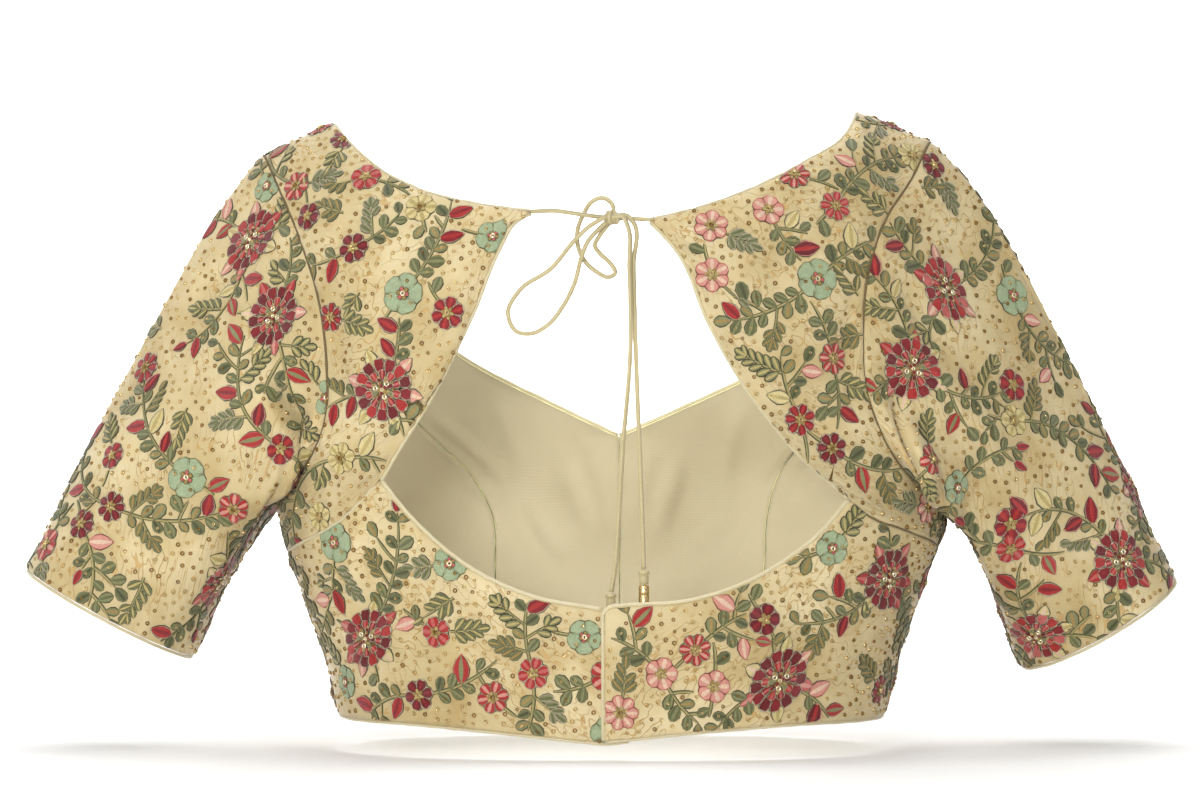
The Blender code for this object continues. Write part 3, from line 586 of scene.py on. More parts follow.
def unevenness(u, v, phase):
    """The slight buckling of stiffly embroidered cloth."""
    slow = np.sin(u / 19 + 1.7 * np.sin(v / 37 + phase)) * np.sin(v / 23 + 1.3 * np.sin(u / 29 - phase))
    ripple = np.sin(v / 9.7 + 1.9 * np.sin(u / 13 + phase))
    quick = np.sin(u / 8.3 + 2.1 * np.sin(v / 15 + 2 * phase)) * ripple
    return 0.5 * slow + 0.16 * quick


def grid_normals(points, outward, ring):
    """Directions out of a grid of points, to the same side as the given ones."""
    if ring:
        around = np.roll(points, -1, axis=1) - np.roll(points, 1, axis=1)
    else:
        around = np.gradient(points, axis=1)
    normals = unit(np.cross(around, np.gradient(points, axis=0)))
    facing = np.sum(normals * outward, axis=-1, keepdims=True)
    return np.where(facing < 0, -normals, normals)


def lengths_along(points, axis):
    """Running length of a grid's lines of points along one of its axes."""
    steps = np.diff(points, axis=axis, prepend=np.take(points, [0], axis=axis))
    return np.cumsum(np.linalg.norm(steps, axis=-1), axis=axis)


def edge_distance(points, ring=False):
    """Length along the cloth from each point of a grid to the nearest rim."""
    down = lengths_along(points, 0)
    nearest = np.minimum(down, down[-1:] - down)
    if ring:
        return nearest
    across = lengths_along(points, 1)
    return np.minimum(nearest, np.minimum(across, across[:, -1:] - across))


def seam_height(points, ring=False):
    """The dip into a seam and the slight puckers beside it."""
    distance = edge_distance(points, ring)
    wave = np.sin(points[..., 0] / 1.9 + np.sin(points[..., 2] / 7.0)) * np.sin(points[..., 2] / 2.3 + 0.7)
    dip = -SEAM_DIP * np.exp(-(distance / SEAM_DIP_REACH) ** 2)
    return dip + PUCKER * wave * np.exp(-distance / PUCKER_REACH)


def make_mesh(name, vertices, faces, slots, uvs=None, face_slots=None):
    """Mesh object in metres; slots are material names and uvs one pair of lengths a vertex."""
    mesh = bpy.data.meshes.new(name)
    mesh.from_pydata((np.asarray(vertices) * MM).tolist(), [], faces)
    for slot in slots:
        mesh.materials.append(MATERIALS[slot])
    if face_slots is not None:
        mesh.polygons.foreach_set("material_index", face_slots)
    if uvs is not None:
        layer = mesh.uv_layers.new(name="lengths")
        corner = np.empty(len(mesh.loops), dtype=np.int32)
        mesh.loops.foreach_get("vertex_index", corner)
        layer.data.foreach_set("uv", (np.asarray(uvs)[corner] * MM).ravel())
    mesh.shade_smooth()
    thing = bpy.data.objects.new(name, mesh)
    bpy.context.scene.collection.objects.link(thing)
    return thing


def grid_faces(rows, columns, ring, first=0):
    """Quads of a grid whose points start at an index."""
    faces = []
    for i in range(rows - 1):
        for j in range(columns if ring else columns - 1):
            k = (j + 1) % columns
            a, b = first + i * columns, first + (i + 1) * columns
            faces.append((a + j, a + k, b + k, b + j))
    return faces


class Cloth:
    """One cut piece: its middle grid, its directions out, and the outer face that is sewn on."""

    def __init__(self, points, outward, ring=False, thickness=SHELL):
        self.points = points
        self.ring = ring
        self.normals = grid_normals(points, outward, ring)
        self.half = thickness / 2
        self.face = points + self.normals * self.half
        self.rows, self.columns = points.shape[:2]

    def wall(self, name, outer_slot, inner_slot):
        """Closed shell with the outer finish on its face and rims."""
        shift = rim_shift(self.points, SEAM_GAP / 2, axes=(0,) if self.ring else (0, 1))
        outer = self.face + shift
        inner = self.points + shift - self.normals * self.half
        rows, columns, ring = self.rows, self.columns, self.ring
        count = rows * columns
        front = grid_faces(rows, columns, ring)
        back = [face[::-1] for face in grid_faces(rows, columns, ring, count)]
        rims = []
        for j in range(columns if ring else columns - 1):
            k = (j + 1) % columns
            top = (rows - 1) * columns
            rims.append((j, count + j, count + k, k))
            rims.append((top + j, top + k, count + top + k, count + top + j))
        if not ring:
            for i in range(rows - 1):
                a, b = i * columns, (i + 1) * columns
                rims.append((a, b, count + b, count + a))
                a, b = a + columns - 1, b + columns - 1
                rims.append((a, count + a, count + b, b))
        faces = front + rims + back
        kinds = [0] * (len(front) + len(rims)) + [1] * len(back)
        normal = np.cross(outer[0, 1] - outer[0, 0], outer[1, 0] - outer[0, 0])
        if np.dot(normal, outer[0, 0] - inner[0, 0]) < 0:
            faces = [face[::-1] for face in faces]
        lengths = np.stack([lengths_along(self.points, axis) for axis in (1, 0)], axis=-1)
        uvs = np.tile(lengths.reshape(-1, 2), (2, 1))
        vertices = np.concatenate([outer.reshape(-1, 3), inner.reshape(-1, 3)])
        return make_mesh(name, vertices, faces, (outer_slot, inner_slot), uvs, kinds)

    def cut(self):
        """Width, length and area of the flat cut, in metres and square metres."""
        loop = np.concatenate([self.points, self.points[:, :1]], axis=1) if self.ring else self.points
        width = np.max(np.sum(np.linalg.norm(np.diff(loop, axis=1), axis=-1), axis=1))
        length = np.max(np.sum(np.linalg.norm(np.diff(loop, axis=0), axis=-1), axis=0))
        a = loop[1:, :-1] - loop[:-1, :-1]
        b = loop[:-1, 1:] - loop[:-1, :-1]
        area = np.sum(np.linalg.norm(np.cross(a, b), axis=-1))
        return width * MM, length * MM, area * MM * MM


def body_cloth(places, creases, phase, depth=0.0, thickness=SHELL, offset=None, seams=1.0, folds=()):
    """Cloth on the form, creased; depth lowers it, offset gives the bands' lap, folds are a lining's."""
    points = body(places)
    normals = body_normal(places)
    rise = -depth if offset is None else offset(points) - depth
    height = crease_height(points[..., 0], points[..., 2], creases)
    buckling = unevenness(points[..., 0], points[..., 2], phase)
    height += buckling * smooth_step(edge_distance(points) / CALM_RIM)
    height += seams * seam_height(points)
    if folds:
        height += fold_height(points[..., 0], points[..., 2], folds)
    return Cloth(points + normals * (height + rise)[..., None], normals, thickness=thickness)


def dress(piece, *nodes, slot="embroidered_silk"):
    """The piece rides on the blouse and stands for the nodes it is named after."""
    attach(piece, "root")
    if nodes:
        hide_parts(*nodes)
    return piece


def declare_sheet(piece, cloth):
    """Works out the width, length and area of the flat cut; the sizes are not passed on."""
    width, length, area = cloth.cut()


def length_pairs(around, along):
    """A pair of lengths for each vertex of a round piece."""
    return np.stack(np.broadcast_arrays(around[None, :], along[:, None]), axis=-1).reshape(-1, 2)


def tube(name, points, radius, slot, sides=10, cyclic=False, swell=None):
    """Round mesh tube along points, with lengths around and along it as its uv."""
    points = np.asarray(points, float)
    if cyclic:
        along = unit(np.roll(points, -1, axis=0) - np.roll(points, 1, axis=0))
    else:
        along = unit(np.gradient(points, axis=0))
    frames = [unit(np.cross(along[0], (0.31, 0.2, 0.93)))]
    for direction in along[1:]:
        frames.append(unit(frames[-1] - np.dot(frames[-1], direction) * direction))
    side = np.array(frames)
    up = np.cross(along, side)
    turns = np.linspace(0, 2 * pi, sides, endpoint=False)
    radii = np.full(len(points), radius) if swell is None else radius * swell
    ring = side[:, None] * np.cos(turns)[None, :, None] + up[:, None] * np.sin(turns)[None, :, None]
    vertices = (points[:, None] + ring * radii[:, None, None]).reshape(-1, 3)
    faces = grid_faces(len(points), sides, True)
    top = (len(points) - 1) * sides
    if cyclic:
        faces += [(top + j, top + (j + 1) % sides, (j + 1) % sides, j) for j in range(sides)]
    else:
        faces.append(tuple(range(sides - 1, -1, -1)))
        faces.append(tuple(top + j for j in range(sides)))
    uvs = length_pairs(turns * radius, run_lengths(points))
    return make_mesh(name, vertices, faces, (slot,), uvs)


def trimmed(points, start, end):
    """A line of points shortened at its ends by lengths in millimetres."""
    run = run_lengths(points)
    inside = run[(run > start + 0.5) & (run < run[-1] - end - 0.5)]
    kept = np.concatenate([[start], inside, [run[-1] - end]])
    return np.stack([np.interp(kept, run, points[:, i]) for i in range(3)], axis=-1)


# How far past a cloth's edge its piping lies, in radii; the edge is held inside
PIPING_HOLD = 0.55


def beside_edge(edge, inner, radius, start, end):
    """Middle line of a piping just past a cloth edge; inner is the grid line next to the edge."""
    along, mitre = corners(edge)
    outward = edge - inner
    outward = unit(outward - np.sum(outward * along, axis=-1, keepdims=True) * along)
    return trimmed(edge + outward * mitre * radius * PIPING_HOLD, start, end)


def piping(name, edge, inner, radius, start=0.0, end=0.0, sides=10):
    """Piping that replaces its solid; gives back its first point."""
    centre = beside_edge(edge, inner, radius, start, end)
    dress(tube(name + "_sewn", centre, radius, "piping_satin", sides), name, slot="piping_satin")
    return centre[0]


def smooth_route(points, step):
    """Points about a step apart on a smooth curve through the route's own points."""
    points = np.array(points, float)
    run = run_lengths(points)
    even = np.linspace(0, run[-1], max(4, int(run[-1] / step)) + 1)
    return np.stack([smooth_table(even, run, points[:, i]) for i in range(3)], axis=-1)


# Radii of the seam threads, whose dark brown is painted shade in the seams; the left flap's lower seam is
# piped, the right one's is not
STITCH_RADIUS = 0.5
ARMHOLE_STITCH_RADIUS = 0.8
SEAM_PIPING = {"left": 0.85, "right": 0.5}
# Share of its radius that the thread of a flap's seam stands out of the cloth
SEAM_STAND = 0.4
# How far the left band's piping runs on under the lap
LAP_TUCK = 1.0


def back_panels(hand, lines):
    """Upper flap and lower band of one side of the back, with their piping."""
    low = joined(lines["side_flap_back"][::-1], lines["flap_seam"])
    inner = joined(lines["keyhole"][::-1], lines["neck_back"][::-1])
    name = "back_flap_" + hand
    flap = body_cloth(patch(low, lines["shoulder_back"], lines["armhole_back"][::-1], inner),
                      BODY_CREASES[name], phase=1.0 + len(hand))
    turn = STEPS["keyhole"]
    edge, beside = flap.points[:, -1], flap.points[:, -2]
    piping("piping_keyhole_" + hand, edge[:turn + 1], beside[:turn + 1], PIPING_RADIUS, 0.5, 0.9)
    tip = piping("piping_neck_back_" + hand, edge[turn:], beside[turn:], PIPING_RADIUS, 0.1, 0.5)

    seam = flap.face[0, STEPS["side_flap"] + 1:-1]
    over = flap.normals[0, STEPS["side_flap"] + 1:-1]
    radius = SEAM_PIPING[hand]
    # the right flap's seam thread is dark brown: painted shade along that seam
    slot = "piping_satin" if hand == "left" else "seam_shade_thread"
    dress(tube("seam_flap_" + hand, seam + over * radius * SEAM_STAND, radius, slot, 8), slot="piping_satin")

    name = "back_band_" + hand
    top = joined(lines["flap_seam"], lines["band_top"])
    band = body_cloth(patch(lines["hem_back"], top, lines["side_band_back"], lines["placket"]),
                      BODY_CREASES[name], phase=2.3 + len(hand), offset=lambda p: lap_offset(p, hand))
    start = STEPS["flap_seam"]
    top_edge, beside = band.points[-1, start:], band.points[-2, start:]
    if hand == "right":
        corner = len(top_edge) - 1
        top_edge = np.concatenate([top_edge, band.points[-2::-1, -1]])
        beside = np.concatenate([beside, band.points[-2::-1, -2]])
        beside[corner] = band.points[-3, -3]
        piping("piping_band_right", top_edge, beside, PIPING_RADIUS, 0.6, 0.5)
    else:
        hidden = LAP_EDGE_LEFT - LAP_EDGE_RIGHT - LAP_TUCK
        piping("piping_band_left", top_edge, beside, PIPING_RADIUS, 0.6, hidden)
    return flap, band, tip


def front_panels(hand, lines):
    """Front centre and front side cloth of one side, each with its lining."""
    outer = joined(lines["princess"][::-1], lines["armhole_front_centre"][::-1])
    inner = joined(lines["centre_front"], lines["neck_front"][::-1])
    centre = patch(lines["hem_front_centre"], lines["shoulder_front"], outer, inner)
    outer = joined(lines["side_band_front"], lines["side_flap_front"])
    side = patch(lines["hem_front_side"], lines["armhole_front_side"][::-1], outer, lines["princess"][::-1])
    depth = SHELL / 2 + LAYER_GAP + LINING / 2
    cloths = {}
    for kind, places in (("front_centre_", centre), ("front_side_", side)):
        name = kind + hand
        phase = 4.1 + len(name)
        cloths[name] = body_cloth(places, BODY_CREASES[name], phase)
        lining = body_cloth(places, BODY_CREASES[name], phase, depth, LINING, seams=LINING_SEAMS,
                            folds=LINING_CREASES[hand])
        lined = lining.wall("lined_" + name, "lining_satin", "reverse_cloth")
        dress(lined, "lining_" + name, slot="lining_satin")
        declare_sheet(lined, lining)
    start = STEPS["centre_front"]
    points = cloths["front_centre_" + hand].points
    piping("piping_neck_front_" + hand, points[start:, -1], points[start:, -2], PIPING_RADIUS, 0.5, 0.5)
    return cloths


def closed_seams(hand, lines):
    """Sewing thread between the panels, so that no light comes through a seam; its dark brown is painted
    shade in the seam.
    """
    names = ["princess", "shoulder_back", "side_flap_back", "side_band_back"]
    if hand == "left":
        names.append("centre_front")
    for name in names:
        seam = trimmed(body(lines[name]), 1.0, 1.0)
        dress(tube("stitches_" + name + "_" + hand, seam, STITCH_RADIUS, "seam_shade_thread", 6))


def hem_edging(hand, band, fronts):
    """Narrow edging under the hem, from the placket around to the centre front."""
    side, centre = fronts["front_side_" + hand].points, fronts["front_centre_" + hand].points
    rows = [band.points[:2, ::-1], side[:2, 1:], centre[:2, 1:]]
    edge = np.concatenate([row[0] for row in rows])
    above = np.concatenate([row[1] for row in rows])
    piping("edging_hem_" + hand, edge, above, EDGING_RADIUS, 0.5, 0.3, sides=8)


def armhole_ring(lines):
    """Armhole points from the shoulder down the back, through the underarm and up the front."""
    back = lines["armhole_back"]
    front = joined(lines["armhole_front_side"][::-1], lines["armhole_front_centre"][::-1])
    places = np.concatenate([back[:-1], front[:-1]])
    half = len(back) - 1
    turn = np.concatenate([np.linspace(0, 1, half + 1)[:-1], -np.linspace(1, 0, len(front))[:-1]])
    return body(places), body_normal(places), turn


def arm_frame(row):
    """Directions of a sleeve: along the arm, outwards over its top, and to the back."""
    axis = unit(np.array(row["axis"], float))
    outwards = np.array([np.sign(axis[0]), 0.0, 0.0])
    over = unit(outwards - np.dot(outwards, axis) * axis)
    behind = np.cross(axis, over)
    if behind[1] > 0:
        behind = -behind
    return axis, over, behind


# Lengths that half a turn and the whole length of a sleeve stand for in its buckling
SLEEVE_HALF_ROUND = 190.0
SLEEVE_LENGTH = 200.0
# Power that packs a sleeve's rows towards the armhole
SLEEVE_PACKING = 1.15


def sleeve(hand, lines):
    """Elbow sleeve lofted from the armhole to the cuff, with its folds and creases."""
    row = SLEEVES[hand]
    ring, normals, turn = armhole_ring(lines)
    axis, over, behind = arm_frame(row)
    along_ring = unit(np.roll(ring, -1, axis=0) - np.roll(ring, 1, axis=0))
    off_body = unit(np.cross(along_ring, normals))
    underarm = len(lines["armhole_back"]) - 1
    if off_body[underarm, 2] < 0:
        off_body = -off_body
    share = {key: smooth_table(np.abs(turn), SLEEVE_HEAD["turn"], SLEEVE_HEAD[key])[:, None]
             for key in ("along", "out", "arm", "start", "end")}
    leave = unit(share["along"] * off_body + share["out"] * normals + share["arm"] * axis)
    leave = unit(leave - np.sum(leave * along_ring, axis=1, keepdims=True) * along_ring)
    bend = np.abs(np.sum(leave * normals, axis=1, keepdims=True))
    start = ring + off_body * (SEAM_GAP + SHELL / 2 * bend)
    angle = (turn * pi)[:, None]
    cuff = np.array(row["cuff"]) + over * row["half_width"] * np.cos(angle)
    cuff = cuff + behind * row["half_depth"] * np.sin(angle)
    length = np.linalg.norm(cuff - start, axis=1, keepdims=True)
    leave = leave * length * share["start"] * (1 + (row["puff"] - 1) * np.cos(angle / 2))
    arrive = axis * length * share["end"]

    t = np.linspace(0, 1, SLEEVE_ROWS)[:, None, None] ** SLEEVE_PACKING
    points = ((2 * t ** 3 - 3 * t ** 2 + 1) * start + (t ** 3 - 2 * t ** 2 + t) * leave
              + (3 * t ** 2 - 2 * t ** 3) * cuff + (t ** 3 - t ** 2) * arrive)
    outward = grid_normals(points, points - np.mean(points, axis=1, keepdims=True), ring=True)
    down = t[..., 0]
    height = np.zeros(points.shape[:2])
    for place, spread, where, reach, rise in FOLDS[hand]:
        height += rise * np.exp(-((turn[None] - place) / spread) ** 2 - ((down - where) / reach) ** 2)
    wide = np.broadcast_to(turn[None], height.shape)
    long = np.broadcast_to(down, height.shape)
    height += crease_height(wide, long, SLEEVE_CREASES[hand])
    height *= smooth_step(down / FOLD_START)
    buckling = unevenness(wide * SLEEVE_HALF_ROUND, long * SLEEVE_LENGTH, 0.6 + len(hand))
    height += buckling * smooth_step(edge_distance(points, True) / CALM_RIM)
    height += seam_height(points, ring=True)
    points = points + outward * height[..., None]
    cloth = Cloth(points, outward, ring=True)
    cloth.flat = (wide, long)
    seam = ring + off_body * SEAM_GAP / 2
    # dark brown thread round the armhole: painted shade in its seam
    dress(tube("stitches_armhole_" + hand, seam, ARMHOLE_STITCH_RADIUS, "seam_shade_thread", 8, cyclic=True))
    centre = points[-1] + axis * (EDGING_RADIUS + LAYER_GAP)
    name = "edging_cuff_" + hand
    edging = tube(name + "_sewn", centre, EDGING_RADIUS, "piping_satin", 8, cyclic=True)
    dress(edging, name, slot="piping_satin")
    return cloth


# Tie cord as made: a lead that runs through the knot and hangs as a tail, and two bow loops
CORD_STEP = 1.6
CORD_SEWN_IN = 2.2
CORDS = {
    "cord_left": {"solids": ("cord_lead_left", "cord_tail_left"), "length": 0.250, "far_end": "fitting"},
    "cord_right": {"solids": ("cord_lead_right", "cord_tail_right"), "length": 0.220, "far_end": "fitting"},
    "bow_large": {"solids": ("cord_loop_large",), "length": 0.170, "far_end": "knot"},
    "bow_small": {"solids": ("cord_loop_small",), "length": 0.106, "far_end": "knot"},
}
# Turns of cord that make the knot: tilt across, tilt along, half width, half height, shift along x
KNOT_TURNS = ((0.25, 0.15, 3.1, 2.7, -1.9), (-0.35, 0.05, 3.3, 2.9, 0.2), (0.5, -0.2, 3.0, 2.6, 2.2))
# Share of the cord's radius that its turns are drawn tight to, and the core's radius, half
# length and the half length at which it would close
KNOT_TIGHT = 0.95
CORE_RADIUS = 3.0
CORE_REACH = 4.4
CORE_CLOSE = 4.6
# Stoppers and caps, as radius and height under the cord's end
STOPPER_PROFILE = ((1.2, 0.1), (2.2, -0.1), (2.9, -0.7), (3.1, -1.5), (2.9, -2.3), (2.3, -2.8), (2.35, -3.4),
                   (2.5, -4.0), (2.45, -6.8), (2.25, -7.6), (1.6, -7.8))
CAP_PROFILE = ((1.6, -8.1), (2.3, -8.2), (2.7, -8.6), (2.8, -9.2), (2.55, -9.6), (2.8, -10.0), (2.85, -13.0),
               (2.6, -13.4), (2.85, -13.8), (2.8, -19.4), (2.55, -20.4), (1.9, -20.8), (1.2, -20.6))


# Radius that stands for a whole turned piece in its lengths around
TURNED_RADIUS = 2.6


def turned(name, centre, profile, slot, sides=28):
    """Round piece from radius and height rows, with lengths around and down as its uv."""
    turns = np.linspace(0, 2 * pi, sides, endpoint=False)
    profile = np.array(profile, float)
    ring = np.stack([np.cos(turns), np.sin(turns)], axis=-1)
    flat = profile[:, None, :1] * ring[None]
    height = np.broadcast_to(profile[:, None, 1:], (len(profile), sides, 1))
    vertices = (np.concatenate([flat, height], axis=-1) + centre).reshape(-1, 3)
    faces = [face[::-1] for face in grid_faces(len(profile), sides, True)]
    last = (len(profile) - 1) * sides
    faces.append(tuple(range(sides)))
    faces.append(tuple(last + j for j in range(sides - 1, -1, -1)))
    uvs = length_pairs(turns * TURNED_RADIUS, profile[:, 1])
    return make_mesh(name, vertices, faces, (slot,), uvs)


def knot():
    """Three turns of cord over a small core."""
    pieces = []
    centre = np.array(KNOT_CENTRE)
    angle = np.linspace(0, 2 * pi, 28, endpoint=False)
    for index, (across, along, width, height, shift) in enumerate(KNOT_TURNS):
        ring = np.stack([np.zeros_like(angle), width * np.cos(angle), height * np.sin(angle)], axis=-1)
        turn = Matrix.Rotation(across, 3, "Z") @ Matrix.Rotation(along, 3, "Y")
        ring = ring @ np.array(turn).T + (shift, 0, 0)
        radius = CORD_RADIUS * KNOT_TIGHT
        pieces.append(tube("turn_%d" % index, centre + ring, radius, "tie_cord", 12, cyclic=True))
    core = np.stack([np.linspace(-CORE_REACH, CORE_REACH, 12), np.zeros(12), np.zeros(12)], axis=-1)
    swell = np.sqrt(np.clip(1 - (core[:, 0] / CORE_CLOSE) ** 2, 0.02, 1))
    pieces.append(tube("core", centre + core, CORE_RADIUS, "tie_cord", 12, swell=swell))
    with bpy.context.temp_override(active_object=pieces[0], selected_editable_objects=pieces):
        bpy.ops.object.join()
    pieces[0].name = "bow_knot"
    return dress(pieces[0], "cord_knot", slot="tie_cord")


def tie_cord(tips):
    """The drawstring's two cords and loops, its knot, stoppers and metal caps."""
    tied = knot()
    for hand, top in STOPPERS.items():
        stopper = turned("stopper_" + hand, top, STOPPER_PROFILE, "tie_cord")
        cap = turned("cap_" + hand, top, CAP_PROFILE, "brass")
        dress(stopper, "cord_stopper_" + hand, slot="tie_cord")
        dress(cap, "cord_cap_" + hand, slot="brass")
    for name, row in CORDS.items():
        route = [point for solid in row["solids"] for point in ROUTES[solid]]
        if name in tips:
            lead = unit(np.array(route[0]) - tips[name])
            route = [tuple(tips[name] - lead * CORD_SEWN_IN)] + route
        points = smooth_route(route, CORD_STEP)
        piece = tube(name, points, CORD_RADIUS, "tie_cord", 12)
        dress(piece, *row["solids"], slot="tie_cord")


# Thread colours, linear
THREADS = {
    "wine": (0.150, 0.008, 0.010), "crimson": (0.235, 0.011, 0.015), "red": (0.41, 0.024, 0.020),
    "rose": (0.54, 0.12, 0.105), "pink": (0.66, 0.30, 0.235), "blush": (0.76, 0.54, 0.39),
    "cream": (0.68, 0.58, 0.27), "straw": (0.50, 0.40, 0.15), "mint": (0.36, 0.45, 0.27),
    "sage": (0.235, 0.240, 0.105), "olive": (0.130, 0.142, 0.054), "moss": (0.068, 0.074, 0.028),
    "grey": (0.26, 0.235, 0.15), "silver": (0.46, 0.42, 0.30), "gold": (0.36, 0.24, 0.07),
    "umber": (0.062, 0.048, 0.022),
}
THREAD_NAMES = tuple(THREADS)
# Fill, inner fill and outline of the motifs, one row drawn for each
SMALL_TINTS = (("crimson", "red", "silver"), ("red", "rose", "silver"), ("pink", "blush", "rose"),
               ("wine", "crimson", "silver"), ("cream", "straw", "straw"), ("red", "pink", "grey"))
POINTED_TINTS = (("red", "sage", "rose"), ("crimson", "red", "silver"), ("pink", "blush", "rose"),
                 ("cream", "straw", "grey"), ("red", "crimson", "silver"), ("wine", "red", "pink"))
GREEN_TINTS = (("olive", "sage", "sage"), ("sage", "olive", "olive"), ("sage", "gold", "olive"),
               ("olive", "moss", "sage"))
FROND_TINTS = (("olive", "straw", "sage"), ("sage", "straw", "moss"), ("sage", "olive", "silver"),
               ("olive", "gold", "sage"))
# Large blossoms: fills of the outer petals, and fill and inner fill of the leaves behind them
OUTER_TINTS = (("crimson", "red", "wine"), ("wine", "crimson"), ("red", "crimson", "rose"))
BEHIND_TINTS = (("pink", "blush"), ("cream", "straw"), ("rose", "pink"), ("cream", "blush"), ("red", "rose"))
# Width of a petal's outline, height of its threads, and how far a petal's cells may be stretched
OUTLINE = 0.95
THREAD_HEIGHT = 0.75
CELL_STRETCH = 0.62
# Height of all thread over the cloth, and the spread of its shade
THREAD_LIFT = 0.04
THREAD_SHADE = 0.12
# Outlines by share of the length: power of the share, and of the sine that gives the width
SHAPES = {"leaf": (0.85, 0.95), "petal": (1.5, 0.55), "drop": (1.9, 0.50), "lobe": (1.25, 0.62)}
# Beads: radius, pitch, room to what is sewn, distance to a rim, places tried, and the rings of
# one as radius and height
BEAD_RADIUS = 1.2
BEAD_PITCH = 5.4
BEAD_ROOM = 1.7
BEAD_RIM = 2.2
BEAD_TRIES = 9000
BEAD_SIDES = 8
BEAD_RINGS = ((1.0, 0.0), (0.9, 0.55), (0.6, 0.6), (0.42, 0.02))
# Stems: length of a step, room to what is sewn, and their section as shares of the half width
STEM_STEP = 2.4
STEM_ROOM = 1.4
STEM_PROFILE = ((-1.0, 0.0), (-0.55, 0.6), (0.0, 0.15), (0.55, 0.6), (1.0, 0.0))
STEM_TINTS = ("moss", "sage", "straw", "moss")
# Headings are drawn over a whole turn, and a way is carried by so many rows or columns at most
WHOLE_TURN = 6.3
LONGEST_CARRY = 40
# Half widths and squeeze of the listed motifs
BLOOM_SIZES = {"large": 17.0, "oval": 19.0, "mint": 11.5, "small": 9.0}
OVAL_SQUEEZE = 0.76


class Ground:
    """The face of a cloth as something to sew on; a place is a fractional row and column."""

    def __init__(self, cloth, up, flat):
        self.cloth = cloth
        self.up = np.asarray(up, float)
        self.flat = flat
        self.margin = 0.35
        self.down = np.gradient(cloth.face, axis=0)
        self.across = np.gradient(cloth.face, axis=1)
        if cloth.ring:
            self.across = (np.roll(cloth.face, -1, axis=1) - np.roll(cloth.face, 1, axis=1)) / 2

    def sample(self, place, first, second):
        """Two grids between their rows and columns, and whether the place is on the cloth."""
        cloth = self.cloth
        row, column = place[..., 0], place[..., 1]
        inside = (row > 0) & (row < cloth.rows - 1)
        i = np.clip(row, self.margin, cloth.rows - 1 - self.margin)
        if cloth.ring:
            j = np.mod(column, cloth.columns)
        else:
            inside &= (column > 0) & (column < cloth.columns - 1)
            j = np.clip(column, self.margin, cloth.columns - 1 - self.margin)
        i0 = np.floor(i).astype(int)
        j0 = np.floor(j).astype(int) % cloth.columns
        i1 = np.minimum(i0 + 1, cloth.rows - 1)
        j1 = (j0 + 1) % cloth.columns if cloth.ring else np.minimum(j0 + 1, cloth.columns - 1)
        u = (i - i0)[..., None]
        v = (j - np.floor(j))[..., None]
        found = []
        for grid in (first, second):
            before = grid[i0, j0] * (1 - u) + grid[i1, j0] * u
            after = grid[i0, j1] * (1 - u) + grid[i1, j1] * u
            found.append(before * (1 - v) + after * v)
        return found[0], found[1], inside

    def at(self, place):
        """Points, directions out, and whether they are on the cloth."""
        points, out, inside = self.sample(place, self.cloth.face, self.cloth.normals)
        return points, unit(out), inside

    def point(self, place):
        return self.at(np.asarray(place, float))[0]

    def steps(self, place, way):
        """Rows and columns that carry a place by a way along the cloth."""
        down, across, _ = self.sample(place, self.down, self.across)
        a = np.sum(down * down, axis=-1)
        b = np.sum(down * across, axis=-1)
        c = np.sum(across * across, axis=-1)
        scale = 1 / np.maximum(a * c - b * b, 1e-3)
        p = np.sum(down * way, axis=-1)
        q = np.sum(across * way, axis=-1)
        moves = np.stack([(c * p - b * q) * scale, (a * q - b * p) * scale], axis=-1)
        return np.clip(moves, -LONGEST_CARRY, LONGEST_CARRY)

    def frame(self, place, turn):
        """A place with its point and its directions ahead and to the right, at a heading."""
        place = np.asarray(place, float)
        point, out, _ = self.at(place)
        up = unit(self.up - np.sum(self.up * out, axis=-1, keepdims=True) * out)
        right = np.cross(up, out)
        turn = np.asarray(turn, float)[..., None]
        forward = np.cos(turn) * up + np.sin(turn) * right
        return place, point, forward, np.cos(turn) * right - np.sin(turn) * up

    def carry(self, frame, ahead, right):
        """The place at lengths ahead and to the right, seen square on to the frame."""
        place, point, forward, aside = frame
        way = forward * np.asarray(ahead)[..., None] + aside * np.asarray(right)[..., None]
        where = np.broadcast_to(place, way.shape[:-1] + (2,))
        where = where + self.steps(where, way)
        for _ in range(2):
            where = where + self.steps(where, point + way - self.at(where)[0])
        return where

    def lay(self, frame, ahead, right, height):
        """Points over the cloth, pressed flat past its edge."""
        points, out, inside = self.at(self.carry(frame, ahead, right))
        return points + out * (np.where(inside, height, 0.0) + THREAD_LIFT)[..., None]

    def spot(self, frame, length):
        """The point on the cloth at a length ahead."""
        return self.lay(frame, np.array(length), np.array(0.0), np.array(0.0))

    def ahead(self, place, turn, length):
        """The place at a length ahead of another."""
        return self.carry(self.frame(place, turn), length, 0.0)

    def fits(self, place, size):
        """Whether a round patch of this size lies on the cloth without a stretch."""
        frame = self.frame(place, 0.0)
        turns = np.linspace(0, 2 * pi, 10, endpoint=False)
        points, _, inside = self.at(self.carry(frame, size * np.cos(turns), size * np.sin(turns)))
        reach = np.linalg.norm(points - frame[1], axis=-1)
        return bool(np.all(reach < 1.2 * size) and np.all(reach[inside] > 0.75 * size))

    def find(self, u, v):
        """The place nearest to flat coordinates."""
        distance = (self.flat[0] - u) ** 2 + (self.flat[1] - v) ** 2
        return np.array(np.unravel_index(np.argmin(distance), distance.shape), float)


